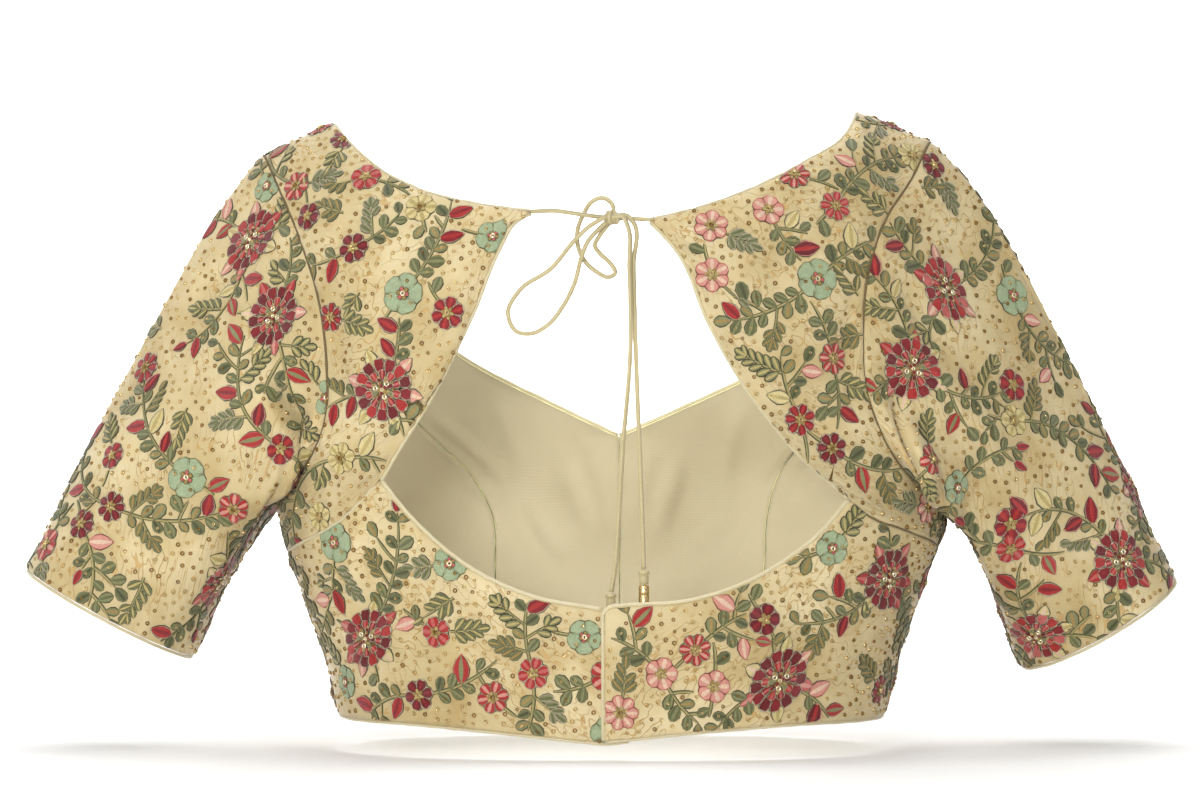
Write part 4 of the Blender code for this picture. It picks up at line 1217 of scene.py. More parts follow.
class Needle:
    """Sews raised shapes on one ground and keeps what is taken."""

    def __init__(self, ground, seed):
        self.ground = ground
        self.random = np.random.default_rng(seed)
        self.points, self.faces, self.tints, self.uvs = [], [], [], []
        self.count = 0
        self.taken = np.zeros((0, 3))
        self.sizes = np.zeros(0)
        self.beads, self.sequins = [], []

    def take(self, point, size):
        """Keeps what is sewn later out of a ball about a point."""
        self.taken = np.concatenate([self.taken, np.reshape(point, (-1, 3))])
        self.sizes = np.concatenate([self.sizes, np.full(len(self.taken) - len(self.sizes), size)])

    def free(self, point, size):
        """Whether a ball about a point is clear of all that is taken."""
        if not len(self.sizes):
            return True
        return bool(np.all(np.linalg.norm(self.taken - point, axis=1) > self.sizes + size))

    def drawn(self, rows):
        """One row of a table, at random."""
        return rows[self.random.integers(len(rows))]

    def about(self, size, spread):
        """A size with a random part added."""
        return size + spread * self.random.random()

    def heading(self):
        return WHOLE_TURN * self.random.random()

    def grid(self, points, tints, uvs):
        """A sheet of stitches; tints are one thread colour a face."""
        rows, columns = points.shape[:2]
        self.points.append(points.reshape(-1, 3))
        self.uvs.append(uvs.reshape(-1, 2))
        self.faces += grid_faces(rows, columns, False, self.count)
        self.tints += [THREAD_NAMES.index(name) for row in tints for name in row]
        self.count += rows * columns

    def petal(self, frame, angle, reach, length, width, shape, fill, edge, inner=None, lift=0.0,
              squeeze=1.0, steps=6):
        """One outlined petal or leaf, its base at a reach from the motif's centre."""
        power, fullness = SHAPES[shape]
        share = (1 - np.cos(np.linspace(0, pi, steps + 1))) / 2
        half = width / 2 * np.sin(pi * share ** power) ** fullness
        rim = min(OUTLINE / (width / 2), 0.38)
        across = np.array([-1, -1 + rim * 0.5, -1 + rim, -0.26, 0.26, 1 - rim, 1 - rim * 0.5, 1])
        rise = np.array([0, 0.8, 0.45, 1, 1, 0.45, 0.8, 0]) * THREAD_HEIGHT
        ahead = np.broadcast_to((reach + length * share)[:, None], (steps + 1, 8))
        right = half[:, None] * across[None]
        fade = np.ones(steps + 1)
        fade[[0, -1]] = 0.12
        height = rise[None] * fade[:, None] + lift
        x = ahead * cos(angle) - right * sin(angle)
        y = (ahead * sin(angle) + right * cos(angle)) * squeeze
        points = self.ground.lay(frame, x, y, height)
        longest = max(np.linalg.norm(np.diff(points, axis=axis), axis=-1).max() for axis in (0, 1))
        if longest > CELL_STRETCH * max(length, width):
            return
        middle = inner or fill
        body = [["umber", edge, fill, middle, fill, edge, "umber"]] * (steps - 2)
        end = [["umber"] + [edge] * 5 + ["umber"]]
        self.grid(points, end + body + end, np.stack([ahead, right], axis=-1))

    def ring_of(self, frame, count, reach, length, width, shape, fills, edge, inner=None, lift=0.0,
                squeeze=1.0, turn=0.0, steps=5):
        """Petals at even turns about a motif's middle, with their fills in rotation."""
        for k in range(count):
            self.petal(frame, turn + 2 * pi * k / count, reach, length, width, shape,
                       fills[k % len(fills)], edge, inner, lift, squeeze, steps)

    def dot(self, frame, angle, reach, size, lift, kind, squeeze=1.0):
        """A bead or sequin to be sewn at a reach from a motif's middle."""
        where = self.ground.carry(frame, reach * cos(angle), reach * sin(angle) * squeeze)
        (self.sequins if kind == "sequin" else self.beads).append((where[0], where[1], size, lift))

    def large_flower(self, place, turn, size, squeeze=1.0):
        """Layered round blossom with a beaded middle and a few pointed leaves behind it."""
        frame = self.ground.frame(place, turn)
        outer = self.drawn(OUTER_TINTS)
        for k in range(6):
            fill, inner = self.drawn(BEHIND_TINTS)
            angle = self.about(k * pi / 3, 0.5)
            self.petal(frame, angle, size * 0.70, size * 0.70, size * 0.50, "leaf", fill, "grey", inner,
                       0.0, squeeze)
        self.ring_of(frame, 13, size * 0.44, size * 0.58, size * 0.47, "drop", outer, "silver", None,
                     0.35, squeeze)
        self.ring_of(frame, 10, size * 0.27, size * 0.37, size * 0.35, "drop", ("red", "crimson"), "silver",
                     "rose", 0.8, squeeze, 0.3)
        self.ring_of(frame, 8, size * 0.12, size * 0.31, size * 0.22, "petal", ("gold", "wine", "sage"),
                     "silver", None, 1.15, squeeze, 0.1, 4)
        self.ring_of(frame, 5, 0.0, size * 0.22, size * 0.17, "petal", ("crimson", "gold"), "straw", None,
                     1.35, squeeze, 0.6, 4)
        for k in range(10):
            self.dot(frame, 2 * pi * k / 10, size * 0.40, 0.7, 1.5, "bead", squeeze)
        for k in range(3):
            self.dot(frame, 2 * pi * k / 3 + 0.4, size * 0.24, 1.35, 1.9, "sequin", squeeze)
            self.dot(frame, 2 * pi * k / 3 + 1.45, size * 0.22, 0.75, 1.9, "bead", squeeze)
        self.dot(frame, 0, 0, 1.0, 2.0, "sequin")
        self.take(self.ground.point(place), size * 0.98)

    def small_flower(self, place, turn, size):
        """Five to seven outlined petals around a beaded middle."""
        frame = self.ground.frame(place, turn)
        fill, inner, edge = self.drawn(SMALL_TINTS)
        count = int(self.random.integers(5, 8))
        self.ring_of(frame, count, size * 0.14, size * 0.86, size * 5.2 / count, "petal", (fill,), edge,
                     inner, 0.1)
        self.ring_of(frame, count, size * 0.08, size * 0.34, size * 1.9 / count, "leaf", ("gold", "straw"),
                     "straw", None, 0.75, 1.0, pi / count, 3)
        self.dot(frame, 0, 0, 1.25, 1.2, "bead")
        for k in range(count):
            self.dot(frame, 2 * pi * k / count + pi / count, size * 0.32, 0.55, 1.0, "bead")
        self.take(self.ground.point(place), size * 0.97)

    def mint_flower(self, place, turn, size):
        """Wide pale green blossom."""
        frame = self.ground.frame(place, turn)
        self.ring_of(frame, 5, size * 0.1, size * 0.92, size * 1.12, "petal", ("mint",), "sage", "mint", 0.05)
        self.ring_of(frame, 6, 0.0, size * 0.36, size * 0.3, "drop", ("gold", "rose"), "olive", None,
                     0.6, 1.0, 0.4, 4)
        self.dot(frame, 0, 0, 1.3, 1.3, "sequin")
        for k in range(3):
            self.dot(frame, 2 * pi * k / 3, size * 0.62, 0.9, 0.9, "bead")
        self.take(self.ground.point(place), size * 0.95)

    def pointed_leaf(self, frame, length):
        fill, inner, edge = self.drawn(POINTED_TINTS)
        self.petal(frame, 0.0, 0.2, length, length * 0.62, "leaf", fill, edge, inner, 0.05)

    def green_leaf(self, frame, length, beaded):
        fill, inner, edge = self.drawn(GREEN_TINTS)
        self.petal(frame, 0.0, 0.0, length, length * 0.70, "lobe", fill, edge, inner, 0.05, steps=5)
        if beaded:
            self.dot(frame, 0.0, length * 0.6, 0.7, 0.85, "bead")

    def stem(self, stations, turns, width=1.05):
        """Two rows of cord stitch along the walked places, narrow at the far end."""
        frame = self.ground.frame(np.array(stations), np.array(turns))
        frame = tuple(part[:, None] for part in frame)
        profile = np.array(STEM_PROFILE)
        widths = width * np.minimum(1.0, np.linspace(2.4, 0.45, len(stations)))
        right = profile[None, :, 0] * widths[:, None]
        height = np.broadcast_to(profile[None, :, 1], right.shape)
        points = self.ground.lay(frame, np.zeros_like(right), right, height)
        run = run_lengths(points[:, 2])
        ahead = np.broadcast_to(run[:, None], right.shape)
        tints = [STEM_TINTS] * (len(stations) - 1)
        self.grid(points, tints, np.stack([ahead, right], axis=-1))

    def walk(self, place, turn, length, curl):
        """Places and headings along a gently curling line, ended at a rim or at something taken."""
        places, turns = [np.asarray(place, float)], [turn]
        rows, columns = self.ground.cloth.rows, self.ground.cloth.columns
        for step in range(int(length / STEM_STEP)):
            after = self.ground.ahead(places[-1], turns[-1], STEM_STEP)
            past = not 1 < after[0] < rows - 2
            if not self.ground.cloth.ring:
                past |= not 1 < after[1] < columns - 2
            if past or (step > 3 and not self.free(self.ground.point(after), STEM_ROOM)):
                break
            moved = np.linalg.norm(self.ground.point(after) - self.ground.point(places[-1]))
            if not 0.6 * STEM_STEP < moved < 1.4 * STEM_STEP:
                break
            places.append(after)
            turns.append(turns[-1] + curl * STEM_STEP)
        return places, turns

    def try_leaf(self, place, heading, kind, length):
        """A leaf whose base lies at a place, if its middle is free."""
        frame = self.ground.frame(place, heading)
        middle = self.ground.spot(frame, length * 0.62)
        if not self.free(middle, length * 0.31):
            return
        if kind == "pointed":
            self.pointed_leaf(frame, length)
        else:
            self.green_leaf(frame, length, beaded=self.random.random() < 0.5)
        self.take(middle, length * 0.38)

    def frond(self, place, turn, length):
        """Divided leaf: pairs of paddles on a curling vein, and one at its tip."""
        curl = 0.03 * (self.random.random() - 0.5)
        places, turns = self.walk(place, turn, length, curl)
        if len(places) < 4:
            return
        fill, inner, edge = self.drawn(FROND_TINTS)
        covered = []
        for k in range(1, len(places), 2):
            size = 9.6 - 3.0 * k / len(places)
            for side in (-1, 1):
                frame = self.ground.frame(places[k], turns[k] + side * (0.85 - 0.25 * k / len(places)))
                middle = self.ground.spot(frame, size * 0.6)
                if self.free(middle, 1.8):
                    self.petal(frame, 0.0, 0.0, size, size * 0.60, "lobe", fill, edge, inner, 0.05, steps=5)
                    covered.append(middle)
        frame = self.ground.frame(places[-1], turns[-1])
        self.petal(frame, 0.0, 0.0, 8.0, 5.0, "lobe", fill, edge, inner, 0.1, steps=5)
        covered.append(self.ground.spot(frame, 4.0))
        self.stem(places, turns, 0.85)
        for point in covered:
            self.take(point, 3.0)
        for point in self.ground.point(places):
            self.take(point, 1.6)

    def branch(self, place, turn, length, curl, ending, depth=0):
        """Stem with leaves to both sides, side shoots, and something at its end."""
        places, turns = self.walk(place, turn, length, curl)
        if len(places) < 5:
            return
        self.stem(places, turns)
        tips = []
        for k in range(2, len(places) - 1, 3):
            side = 1 if (k // 3) % 2 else -1
            heading = turns[k] + side * self.about(0.85, 0.3)
            chance = self.random.random()
            if depth == 0 and chance < 0.34 and k + 3 < len(places):
                tips.append((places[k], heading, side))
                self.try_leaf(places[k], turns[k] - side * 0.9, "green", self.about(8, 2))
            elif chance < 0.56:
                self.try_leaf(places[k], heading, "pointed", self.about(12.5, 4))
                self.try_leaf(places[k], turns[k] - side * 0.9, "green", self.about(8, 2))
            else:
                self.try_leaf(places[k], heading, "green", self.about(9, 2.5))
                self.try_leaf(places[k], turns[k] - side * 0.9, "green", self.about(8, 2))
        for point in self.ground.point(places):
            self.take(point, 1.0)
        for start, heading, side in tips:
            if self.random.random() < 0.62:
                self.frond(start, heading, self.about(13, 9))
            else:
                self.branch(start, heading, self.about(14, 14), -side * 0.02, "leaf", depth + 1)
        end, heading = places[-1], turns[-1]
        if ending == "flower":
            size = self.about(8.4, 1.6)
            centre = self.ground.ahead(end, heading, size * 0.85)
            if self.free(self.ground.point(centre), size * 0.5) and self.ground.fits(centre, size):
                self.small_flower(centre, heading, size)
                return
        self.try_leaf(end, heading, "pointed" if self.random.random() < 0.4 else "green", 10.0)
        self.try_leaf(end, heading + 0.95, "green", 8.0)
        self.try_leaf(end, heading - 0.95, "green", 8.0)

    def scatter(self, size, tries, gap):
        """Free places at random, each clear of what is taken by a gap."""
        cloth = self.ground.cloth
        for _ in range(tries):
            place = self.random.random(2) * (cloth.rows - 1, cloth.columns - 1)
            if self.free(self.ground.point(place), size + gap) and self.ground.fits(place, size):
                yield place

    def fill(self, blooms, extra):
        """Listed blooms, some large ones, branches, then more of both where there is room."""
        for u, v, kind, *turn in blooms:
            place = self.ground.find(u, v)
            if not self.ground.fits(place, BLOOM_SIZES["small"]):
                continue
            heading = turn[0] if turn else 0.3
            size = BLOOM_SIZES[kind]
            if kind == "large":
                self.large_flower(place, heading, size)
            elif kind == "oval":
                self.large_flower(place, heading, size, OVAL_SQUEEZE)
            elif kind == "mint":
                self.mint_flower(place, heading, size)
            else:
                self.small_flower(place, heading, size)
        for place in list(self.scatter(size=19, tries=60, gap=8))[:extra]:
            turn = self.heading()
            if self.free(self.ground.point(place), 20):
                self.large_flower(place, turn, self.about(16, 2), self.about(0.78, 0.22))
        face = self.ground.cloth.face
        for point, size in list(zip(self.taken, self.sizes)):
            distance = np.linalg.norm(face - point, axis=-1)
            centre = np.array(np.unravel_index(np.argmin(distance), distance.shape), float)
            shoots = 3 if size > 14 else 2
            first = self.heading()
            for k in range(shoots):
                heading = self.about(first + 2 * pi * k / shoots, 0.5)
                curl = self.about(0.012, 0.012) * self.random.choice((-1, 1))
                start = self.ground.ahead(centre, heading, size * 0.8)
                length = self.about(38, 45)
                ending = "flower" if self.random.random() < 0.5 else "leaf"
                self.branch(start, heading, length, curl, ending)
        for place in self.scatter(size=9, tries=160, gap=3):
            if self.random.random() < 0.28:
                self.mint_flower(place, self.heading(), 9.5)
            else:
                self.small_flower(place, self.heading(), self.about(8, 2))
            heading = self.heading()
            start = self.ground.ahead(place, heading, 8.5)
            self.branch(start, heading, self.about(26, 24), 0.02, "leaf")
            behind = heading + 2.6
            self.frond(self.ground.ahead(place, behind, 8.5), behind, 16)
        for place in self.scatter(size=7, tries=120, gap=2):
            self.frond(place, self.heading(), self.about(15, 8))
        self.bead_rest()

    def bead_rest(self):
        """Beads over what is left, at about an even pitch."""
        cloth = self.ground.cloth
        places = self.random.random((BEAD_TRIES, 2)) * (cloth.rows - 3, cloth.columns - 1) + (1.2, 0)
        points = self.ground.point(places)
        rim = edge_distance(cloth.points, cloth.ring)
        row, column = places.astype(int).T
        clear = rim[row, np.minimum(column, cloth.columns - 1)] > BEAD_RIM
        for place, point in zip(places[clear], points[clear]):
            if self.free(point, BEAD_ROOM):
                self.beads.append((place[0], place[1], self.about(0.82, 0.32), 0.0))
                self.take(point, BEAD_PITCH - BEAD_ROOM - 1.2 * self.random.random())

    def thread_piece(self, name):
        """All the stitches as one piece, whose faces carry their thread's colour."""
        points = np.concatenate(self.points)
        piece = make_mesh(name, points, self.faces, ("embroidery_thread",), np.concatenate(self.uvs))
        mesh = piece.data
        colours = np.array([(*THREADS[n], 1.0) for n in THREAD_NAMES])
        shade = 1 + THREAD_SHADE * (self.random.random(len(self.tints)) - 0.5)
        totals = np.empty(len(mesh.polygons), dtype=np.int32)
        mesh.polygons.foreach_get("loop_total", totals)
        tint = colours[np.array(self.tints)]
        tint[:, :3] *= shade[:, None]
        layer = mesh.color_attributes.new(name="tint", type="BYTE_COLOR", domain="CORNER")
        layer.data.foreach_set("color", np.repeat(tint, totals, axis=0).ravel())
        return dress(piece)

    def bead_piece(self, name, rows, slot, flatness=1.0):
        """Small rings with a hollow middle, sewn at the listed places."""
        if not rows:
            return None
        rows = np.array(rows)
        frame = tuple(part[:, None, None] for part in self.ground.frame(rows[:, :2], np.zeros(len(rows))))
        turns = np.linspace(0, 2 * pi, BEAD_SIDES, endpoint=False)
        rings = np.array(BEAD_RINGS)
        size = rows[:, 2, None, None] * BEAD_RADIUS
        ahead = size * rings[None, :, :1] * np.cos(turns)
        right = size * rings[None, :, :1] * np.sin(turns)
        height = np.broadcast_to(size * rings[None, :, 1:] * flatness, ahead.shape) + rows[:, 3, None, None]
        points = self.ground.lay(frame, ahead, right, height)
        faces = []
        for k in range(len(rows)):
            faces += grid_faces(len(rings), BEAD_SIDES, True, k * BEAD_SIDES * len(rings))
        uvs = np.stack([ahead, right], axis=-1).reshape(-1, 2)
        return dress(make_mesh(name, points.reshape(-1, 3), faces, (slot,), uvs), slot="brass")


# Blooms listed one by one, where the cloth shows most: x, z on the body, or turn and share on a
# sleeve, then the kind and, for the ovals, their heading
BLOOMS = {
    "back_flap_left": (
        (-118, -150, "large"), (-136, -74, "small"), (-108, -100, "mint"), (-100, -52, "small"),
        (-140, -186, "small")),
    "back_flap_right": (
        (112, -92, "mint"), (104, -166, "small"), (120, -180, "small"), (86, -54, "small"),
        (122, -52, "small"), (122, -134, "small")),
    "back_band_left": (
        (-146, -232, "mint"), (-38, -300, "small"), (-98, -312, "small"), (-58, -312, "small"),
        (-128, -282, "oval", 0.9)),
    "back_band_right": (
        (92, -304, "oval", 0.7), (48, -288, "small"), (58, -306, "small"), (84, -272, "small"),
        (150, -250, "large"), (30, -300, "small")),
    "sleeve_left": (
        (0.18, 0.16, "oval", 0.2), (0.34, 0.72, "small"), (0.27, 0.80, "small"), (0.66, 0.24, "small"),
        (0.50, 0.55, "mint")),
    "sleeve_right": (
        (0.50, 0.20, "large"), (0.26, 0.22, "oval", 0.1), (0.30, 0.84, "large"), (0.36, 0.48, "small"),
        (0.62, 0.62, "small"), (0.10, 0.34, "mint")),
}
# Most large blossoms drawn besides those, each kept only where it is clear of the others
EXTRA_BLOOMS = {"back_flap": 0, "back_band": 0, "sleeve": 9, "front_centre": 6, "front_side": 5}


def embroider(name, cloth):
    """Raised thread, beads and sequins on one cloth."""
    if name.startswith("sleeve"):
        hand = name.split("_")[1]
        up = -np.array(SLEEVES[hand]["axis"], float)
        flat = cloth.flat
    else:
        up = (0.0, 0.0, 1.0)
        flat = (cloth.face[..., 0], cloth.face[..., 2])
    needle = Needle(Ground(cloth, up, flat), seed=sum(ord(letter) for letter in name))
    needle.fill(BLOOMS.get(name, ()), EXTRA_BLOOMS[name.rsplit("_", 1)[0]])
    needle.thread_piece("thread_" + name)
    needle.bead_piece("beads_" + name, needle.beads[::3] + needle.beads[1::3], "bead_gold")
    needle.bead_piece("bronze_" + name, needle.beads[2::3], "bead_bronze")
    needle.bead_piece("sequins_" + name, needle.sequins, "sequin", 0.5)


# Finishes, in linear colour
IVORY = (0.67, 0.57, 0.345)
IVORY_DEEP = (0.475, 0.375, 0.185)
ZARI = (0.47, 0.29, 0.09)
LINING_COLOUR = (0.94, 0.945, 0.535)
LINING_DEEP = (0.86, 0.84, 0.45)
PIPING_COLOUR = (0.52, 0.46, 0.28)
CORD_COLOUR = (0.49, 0.42, 0.235)
# Pitch of the silk's weave, and the scale of a wave texture that has one band a turn
WEAVE_PITCH = 0.75
WAVE_TURN = 20.0


class Finish:
    """A node material being built: add() makes a node, with sockets linked or set by name."""

    def __init__(self, name, roughness, metallic=0.0, sheen=0.0, specular=0.5):
        self.material = bpy.data.materials.new(name)
        self.material.use_nodes = True
        self.tree = self.material.node_tree
        self.shader = self.tree.nodes["Principled BSDF"]
        self.shader.inputs["Roughness"].default_value = roughness
        self.shader.inputs["Metallic"].default_value = metallic
        self.shader.inputs["Sheen Weight"].default_value = sheen
        self.shader.inputs["Sheen Roughness"].default_value = 0.4
        self.shader.inputs["Specular IOR Level"].default_value = specular

    def add(self, kind, output=0, inputs=None, **settings):
        """Makes a node and gives back one of its outputs."""
        node = self.tree.nodes.new("ShaderNode" + kind)
        for key, value in settings.items():
            setattr(node, key, value)
        for key, value in (inputs or {}).items():
            if isinstance(value, bpy.types.NodeSocket):
                self.tree.links.new(value, node.inputs[key])
            else:
                node.inputs[key].default_value = value
        return node.outputs[output]

    def lengths(self, scale=(1, 1, 1), turn=0.0):
        """Vector of the piece's own lengths in metres, stretched and turned."""
        uv = self.add("UVMap", uv_map="lengths")
        return self.add("Mapping", inputs={"Vector": uv, "Scale": scale, "Rotation": (0, 0, turn)})

    def place(self):
        """Vector of the place on the piece, in metres."""
        return self.add("TexCoord", output=3)

    def noise(self, vector, scale, detail=2.0, roughness=0.5):
        return self.add("TexNoise", inputs={"Vector": vector, "Scale": scale, "Detail": detail,
                                            "Roughness": roughness})

    def bands(self, vector, pitch, direction="X", distortion=0.0):
        """Threads a pitch in millimetres apart."""
        scale = 2 * pi / (WAVE_TURN * pitch * MM)
        return self.add("TexWave", output=1, wave_type="BANDS", bands_direction=direction,
                        inputs={"Vector": vector, "Scale": scale, "Distortion": distortion})

    def math(self, operation, a, b=0.0):
        return self.add("Math", operation=operation, inputs={0: a, 1: b})

    def span(self, value, low, high, to_low=0.0, to_high=1.0):
        return self.add("MapRange", inputs={"Value": value, "From Min": low, "From Max": high,
                                            "To Min": to_low, "To Max": to_high})

    def weighed(self, a, share_a, b, share_b):
        """Sum of two heights, each by its share."""
        first = self.math("MULTIPLY", a, share_a)
        return self.math("ADD", first, self.math("MULTIPLY", b, share_b))

    def mix(self, share, a, b, blend_type="MIX"):
        """Colour a to colour b by a share; each is a socket or a colour."""
        first, second = [colour if isinstance(colour, bpy.types.NodeSocket) else (*colour, 1.0)
                         for colour in (a, b)]
        return self.add("Mix", output=2, data_type="RGBA", blend_type=blend_type,
                        inputs={0: share, 6: first, 7: second})

    def multiply(self, share, a, b):
        """Colour a darkened by colour b, by a share."""
        return self.mix(share, a, b, "MULTIPLY")

    def finish(self, colour, height=None, depth=0.0, roughness=None):
        """Joins the colour, the bump's height with its depth in millimetres, and the roughness."""
        self.tree.links.new(colour, self.shader.inputs["Base Color"])
        if height is not None:
            normal = self.add("Bump", inputs={"Height": height, "Distance": depth * MM, "Strength": 1.0})
            self.tree.links.new(normal, self.shader.inputs["Normal"])
        if roughness is not None:
            self.tree.links.new(roughness, self.shader.inputs["Roughness"])
        return self.material


def weave(made, pitch):
    """Height of crossed threads, from 0 to 1."""
    flat = made.lengths()
    warp = made.bands(flat, pitch, "X", 0.6)
    weft = made.bands(flat, pitch, "Y", 0.6)
    return made.math("MULTIPLY", made.math("ADD", warp, weft), 0.5)


def silk_finish():
    """Ivory silk with a slub weave and winding gold thread couched over it."""
    made = Finish("embroidered_silk", 0.52, sheen=0.3, specular=0.35)
    place = made.place()
    cloudy = made.span(made.noise(place, 16.0, 3.0), 0.32, 0.7)
    blotch = made.span(made.noise(place, 46.0, 2.0), 0.44, 0.66, 0.0, 0.6)
    slub = made.noise(made.lengths((140, 1500, 1)), 1.0, 3.0, 0.6)
    fine = weave(made, WEAVE_PITCH)
    colour = made.multiply(blotch, made.mix(cloudy, IVORY, IVORY_DEEP), (0.84, 0.76, 0.58))
    colour = made.multiply(made.span(slub, 0.3, 0.75, 0.0, 0.35), colour, (0.86, 0.80, 0.66))
    colour = made.multiply(made.math("MULTIPLY", fine, 0.22), colour, (0.72, 0.64, 0.48))
    winding = made.noise(made.lengths(), 135.0, 1.0, 0.4)
    line = made.span(made.math("ABSOLUTE", made.math("SUBTRACT", winding, 0.5)), 0.008, 0.022, 1.0, 0.0)
    patchy = made.span(made.noise(place, 42.0, 2.0), 0.40, 0.52)
    thread = made.math("MULTIPLY", line, patchy)
    colour = made.mix(made.math("MULTIPLY", thread, 0.8), colour, ZARI)
    height = made.weighed(fine, 0.16, slub, 0.25)
    height = made.math("ADD", height, made.math("MULTIPLY", thread, 0.8))
    rough = made.span(thread, 0.0, 1.0, 0.52, 0.36)
    return made.finish(colour, height, 0.35, rough)


def lining_finish():
    """Soft olive-cream satin with a fine diagonal weave."""
    made = Finish("lining_satin", 0.42, sheen=0.2, specular=0.4)
    cloudy = made.span(made.noise(made.place(), 11.0, 3.0), 0.3, 0.7)
    twill = made.bands(made.lengths(turn=0.6), 0.7, "X", 0.4)
    fibre = made.noise(made.lengths((1800, 90, 1)), 1.0, 2.0)
    colour = made.mix(cloudy, LINING_COLOUR, LINING_DEEP)
    colour = made.multiply(made.math("MULTIPLY", fibre, 0.25), colour, (0.84, 0.82, 0.72))
    height = made.weighed(twill, 0.2, fibre, 0.4)
    return made.finish(colour, height, 0.12, made.span(fibre, 0.3, 0.7, 0.36, 0.5))


def reverse_finish():
    """The plain back of the cloth."""
    made = Finish("reverse_cloth", 0.7, sheen=0.15, specular=0.3)
    cloudy = made.span(made.noise(made.place(), 14.0, 3.0), 0.3, 0.7)
    fine = weave(made, 0.9)
    colour = made.mix(cloudy, (0.56, 0.50, 0.34), (0.49, 0.43, 0.28))
    colour = made.multiply(made.math("MULTIPLY", fine, 0.4), colour, (0.76, 0.72, 0.6))
    return made.finish(colour, fine, 0.12)


def piping_finish():
    """Bias strip of satin, with slight creases across it."""
    made = Finish("piping_satin", 0.36, sheen=0.2, specular=0.45)
    fibre = made.noise(made.lengths((500, 160, 1)), 1.0, 3.0)
    crease = made.bands(made.lengths(turn=0.8), 2.4, "Y", 3.0)
    colour = made.mix(made.span(fibre, 0.3, 0.7), PIPING_COLOUR, (0.55, 0.47, 0.29))
    height = made.weighed(fibre, 0.4, crease, 0.3)
    return made.finish(colour, height, 0.12, made.span(fibre, 0.3, 0.7, 0.32, 0.46))


def cord_finish():
    """Bias tube turned right side out: a slight twist along the cord."""
    made = Finish("tie_cord", 0.42, sheen=0.25, specular=0.4)
    twist = made.bands(made.lengths(turn=0.9), 1.5, "Y", 1.6)
    fibre = made.noise(made.lengths((700, 220, 1)), 1.0, 3.0)
    colour = made.mix(made.span(fibre, 0.3, 0.7), CORD_COLOUR, (0.44, 0.37, 0.20))
    colour = made.multiply(made.math("MULTIPLY", twist, 0.3), colour, (0.82, 0.78, 0.66))
    height = made.weighed(twist, 0.6, fibre, 0.3)
    return made.finish(colour, height, 0.16, made.span(fibre, 0.3, 0.7, 0.36, 0.5))


def metal_finish(name, colour, worn, roughness):
    """Small metal ware, worn in patches."""
    made = Finish(name, roughness, metallic=1.0)
    patina = made.noise(made.place(), 900.0, 3.0)
    shade = made.mix(made.span(patina, 0.35, 0.7), colour, worn)
    scratch = made.noise(made.lengths((300, 3000, 1)), 1.0, 2.0)
    return made.finish(shade, scratch, 0.05, made.span(patina, 0.3, 0.7, roughness * 0.7, roughness * 1.4))


def thread_finish():
    """Satin stitch in the colour that each face carries, with its threads along the second length."""
    made = Finish("embroidery_thread", 0.44, sheen=0.10, specular=0.4)
    tint = made.add("VertexColor", layer_name="tint")
    stitch = made.bands(made.lengths(), 0.55, "X", 0.8)
    strands = made.noise(made.lengths((1600, 260, 1)), 1.0, 3.0, 0.6)
    shade = made.multiply(made.span(strands, 0.35, 0.7, 0.0, 0.55), tint, (0.60, 0.54, 0.48))
    shade = made.multiply(made.math("MULTIPLY", stitch, 0.3), shade, (0.66, 0.60, 0.55))
    height = made.weighed(stitch, 0.7, strands, 0.5)
    return made.finish(shade, height, 0.2, made.span(strands, 0.3, 0.7, 0.36, 0.56))


def seam_shade_finish():
    """Brown thread lying in a seam, dark as painted shade of the seam's groove."""
    made = Finish("seam_shade_thread", 0.7, sheen=0.1, specular=0.2)
    twist = made.bands(made.lengths(turn=0.7), 1.1, "Y", 0.8)
    # two dark browns along the twist: painted shade of the seam
    colour = made.mix(twist, (0.20, 0.145, 0.065), (0.11, 0.075, 0.032))
    return made.finish(colour, twist, 0.1)


def floor_finish():
    made = Finish("studio_floor", 0.85, specular=0.1)
    speckle = made.span(made.noise(made.place(), 3.0, 2.0), 0.3, 0.7)
    return made.finish(made.mix(speckle, (0.93, 0.93, 0.93), (0.91, 0.91, 0.91)))


MATERIALS = {
    "embroidered_silk": silk_finish(),
    "lining_satin": lining_finish(),
    "reverse_cloth": reverse_finish(),
    "piping_satin": piping_finish(),
    "tie_cord": cord_finish(),
    "brass": metal_finish("brass", (0.80, 0.60, 0.32), (0.60, 0.41, 0.19), 0.26),
    "bead_gold": metal_finish("bead_gold", (0.66, 0.50, 0.235), (0.34, 0.235, 0.09), 0.28),
    "bead_bronze": metal_finish("bead_bronze", (0.34, 0.205, 0.065), (0.15, 0.085, 0.03), 0.34),
    "sequin": metal_finish("sequin", (0.86, 0.78, 0.58), (0.66, 0.52, 0.30), 0.22),
    "embroidery_thread": thread_finish(),
    "seam_shade_thread": seam_shade_finish(),
    "studio_floor": floor_finish(),
}

# Studio: floor level under the blouse, its inner rings, and the reach, bend and height of the
# round wall about it
FLOOR_Z = -346.0
FLOOR_RINGS = (10.0, 1500.0, 3300.0)
STAGE_SIDES = 96
WALL_REACH = 6400.0
WALL_BEND = 1500.0
WALL_TOP = 3600.0


